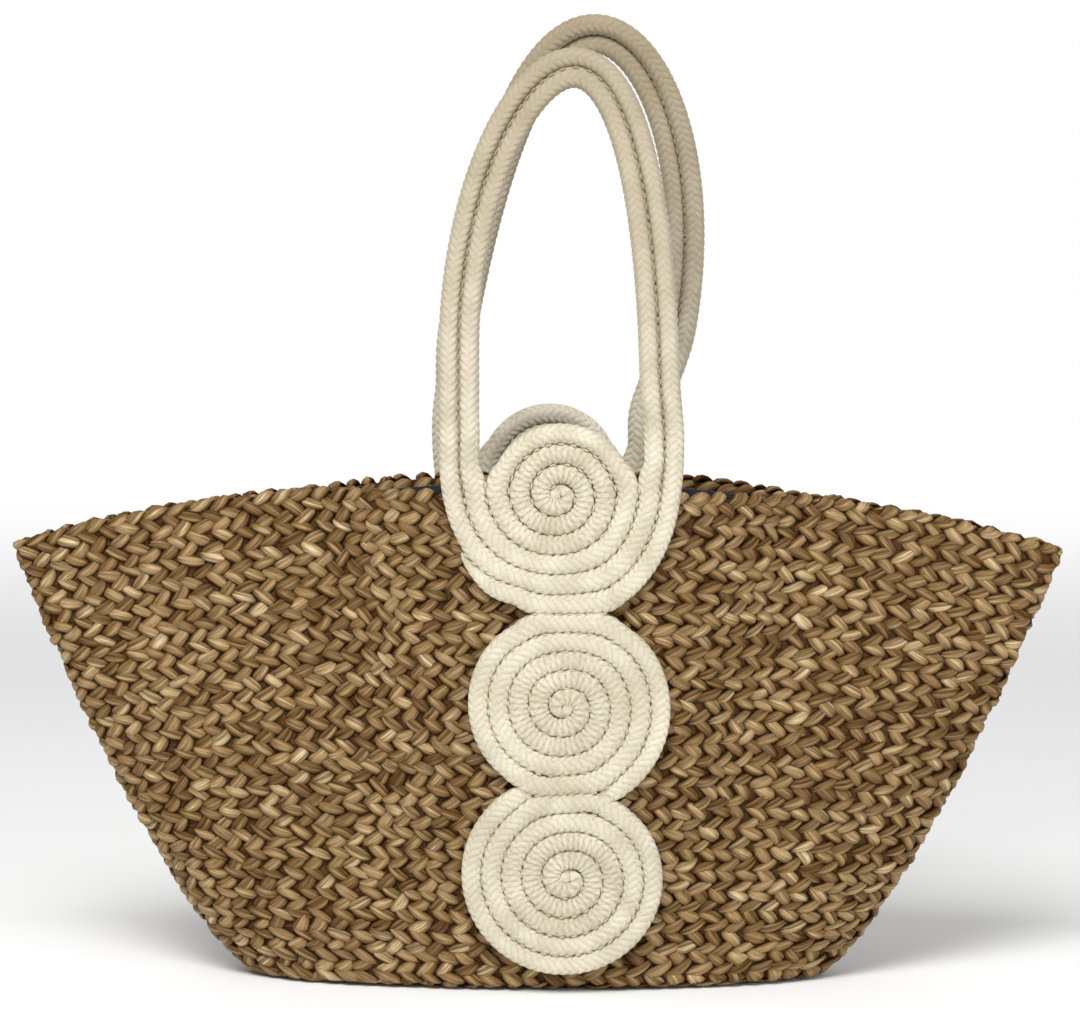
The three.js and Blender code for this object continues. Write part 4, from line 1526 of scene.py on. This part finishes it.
for node, side in (("snap_patch_front", -1.0), ("snap_patch_rear", 1.0)):
    seat = max(abs(corner.y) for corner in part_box(node))
    patch = Patch(node, side, patch_thickness, patch_corner, lambda x, z: seat, patch_shape)
    piece = put(node + "_cloth", patch.mesh(node + "_cloth", *patch_grid))
    piece.data.materials.append(lining_cloth)
    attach(piece, "bag")
    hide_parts(node)
    u, v = patch_border / patch.width, patch_border / patch.height
    cloth_seams += patch.seam([(u, v), (1 - u, v), (1 - u, 1 - v), (u, 1 - v), (u, v)])

# Hem stitches: a row of dark thread holds the lining's mouth to the braid all round. The seams of
# the pocket and the patches are sewn with the same thread.
hem_stitch_pitch = 0.0042
hem_stitch_level = 0.96
hem_seam_ring = -4
hem_length = shell_ring(hem_inset, level=hem_stitch_level)[1]
hem_ring, _ = even_ring(inner_skin[hem_seam_ring], round(hem_length / hem_stitch_pitch))
hem_ways = unit(np.roll(hem_ring, -1, 0) - np.roll(hem_ring, 1, 0))
hem_backs = unit(np.cross(np.array([0.0, 0.0, 1.0]), hem_ways))
hem_ways = unit(np.cross(hem_backs, np.cross(hem_ways, hem_backs)))
cloth_seams += list(zip(hem_ring + hem_backs * stitch_stand, hem_ways, hem_backs))
dark_thread = thread_material("lining_thread", paint(40, 44, 56), paint(74, 80, 96))
seam_piece = sewn("lining_stitches", *zip(*cloth_seams), "lining_cloth", dark_thread)
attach(seam_piece, "bag")

# Snap: two brass discs that meet, a cup in front with a bore and a peg behind that fits it. Their
# outlines are turned, and given in shares of the disc's radius and of its thickness.
snap_turns = 48
snap_thickness = 0.0036
snap_rim = (
    (0.004, 0.0), (0.97, 0.0), (1.0, 0.06), (1.0, 0.2), (0.96, 0.3), (0.9, 0.46),
    (0.74, 0.56), (0.69, 0.9), (0.64, 1.0),
)
snap_faces = {
    "snap_cup": (
        (0.44, 1.0), (0.38, 0.93), (0.378, 0.5), (0.36, 0.45),
        (0.14, 0.45), (0.11, 0.5), (0.004, 0.5),
    ),
    "snap_peg": (
        (0.38, 1.0), (0.3, 0.96), (0.29, 1.1), (0.333, 1.28),
        (0.3, 1.4), (0.2, 1.44), (0.004, 1.44),
    ),
}


def brass_material():
    material, tree, shader = new_material("snap_brass", roughness=0.32, specular=0.5)
    shader.inputs["Metallic"].default_value = 1.0
    wear = noise(tree, place_on(tree), scale=260.0, detail=4.0, roughness=0.6)
    fine = noise(tree, place_on(tree), scale=2600.0, detail=2.0)
    stops = ((0.3, paint(150, 128, 84)), (0.7, paint(205, 184, 134)))
    connect(tree, ramp(tree, wear, stops), shader.inputs["Base Color"])
    connect(tree, wear * 0.25 + 0.22, shader.inputs["Roughness"])
    bump(tree, shader, fine, strength=0.15, distance=0.0001)
    return material


brass = brass_material()
for node, side in (("snap_cup", -1.0), ("snap_peg", 1.0)):
    low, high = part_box(node)
    seat = side * max(abs(low.y), abs(high.y))
    radius = (high.z - low.z) / 2
    turns = np.arange(snap_turns) / snap_turns * 2 * math.pi
    spokes = np.stack([np.cos(turns), 0 * turns, np.sin(turns)], 1)
    if side < 0:
        spokes = spokes[:, ::-1]
    rings = []
    for share, rise in snap_rim + snap_faces[node]:
        level = seat - side * rise * snap_thickness
        rings.append([(low.x + high.x) / 2, level, (low.z + high.z) / 2] + spokes * share * radius)
    disc = put(node + "_brass", rolled(node + "_brass", rings))
    disc.data.materials.append(brass)
    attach(disc, "bag")
    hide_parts(node)
bpy.data.objects.remove(stitch_object)
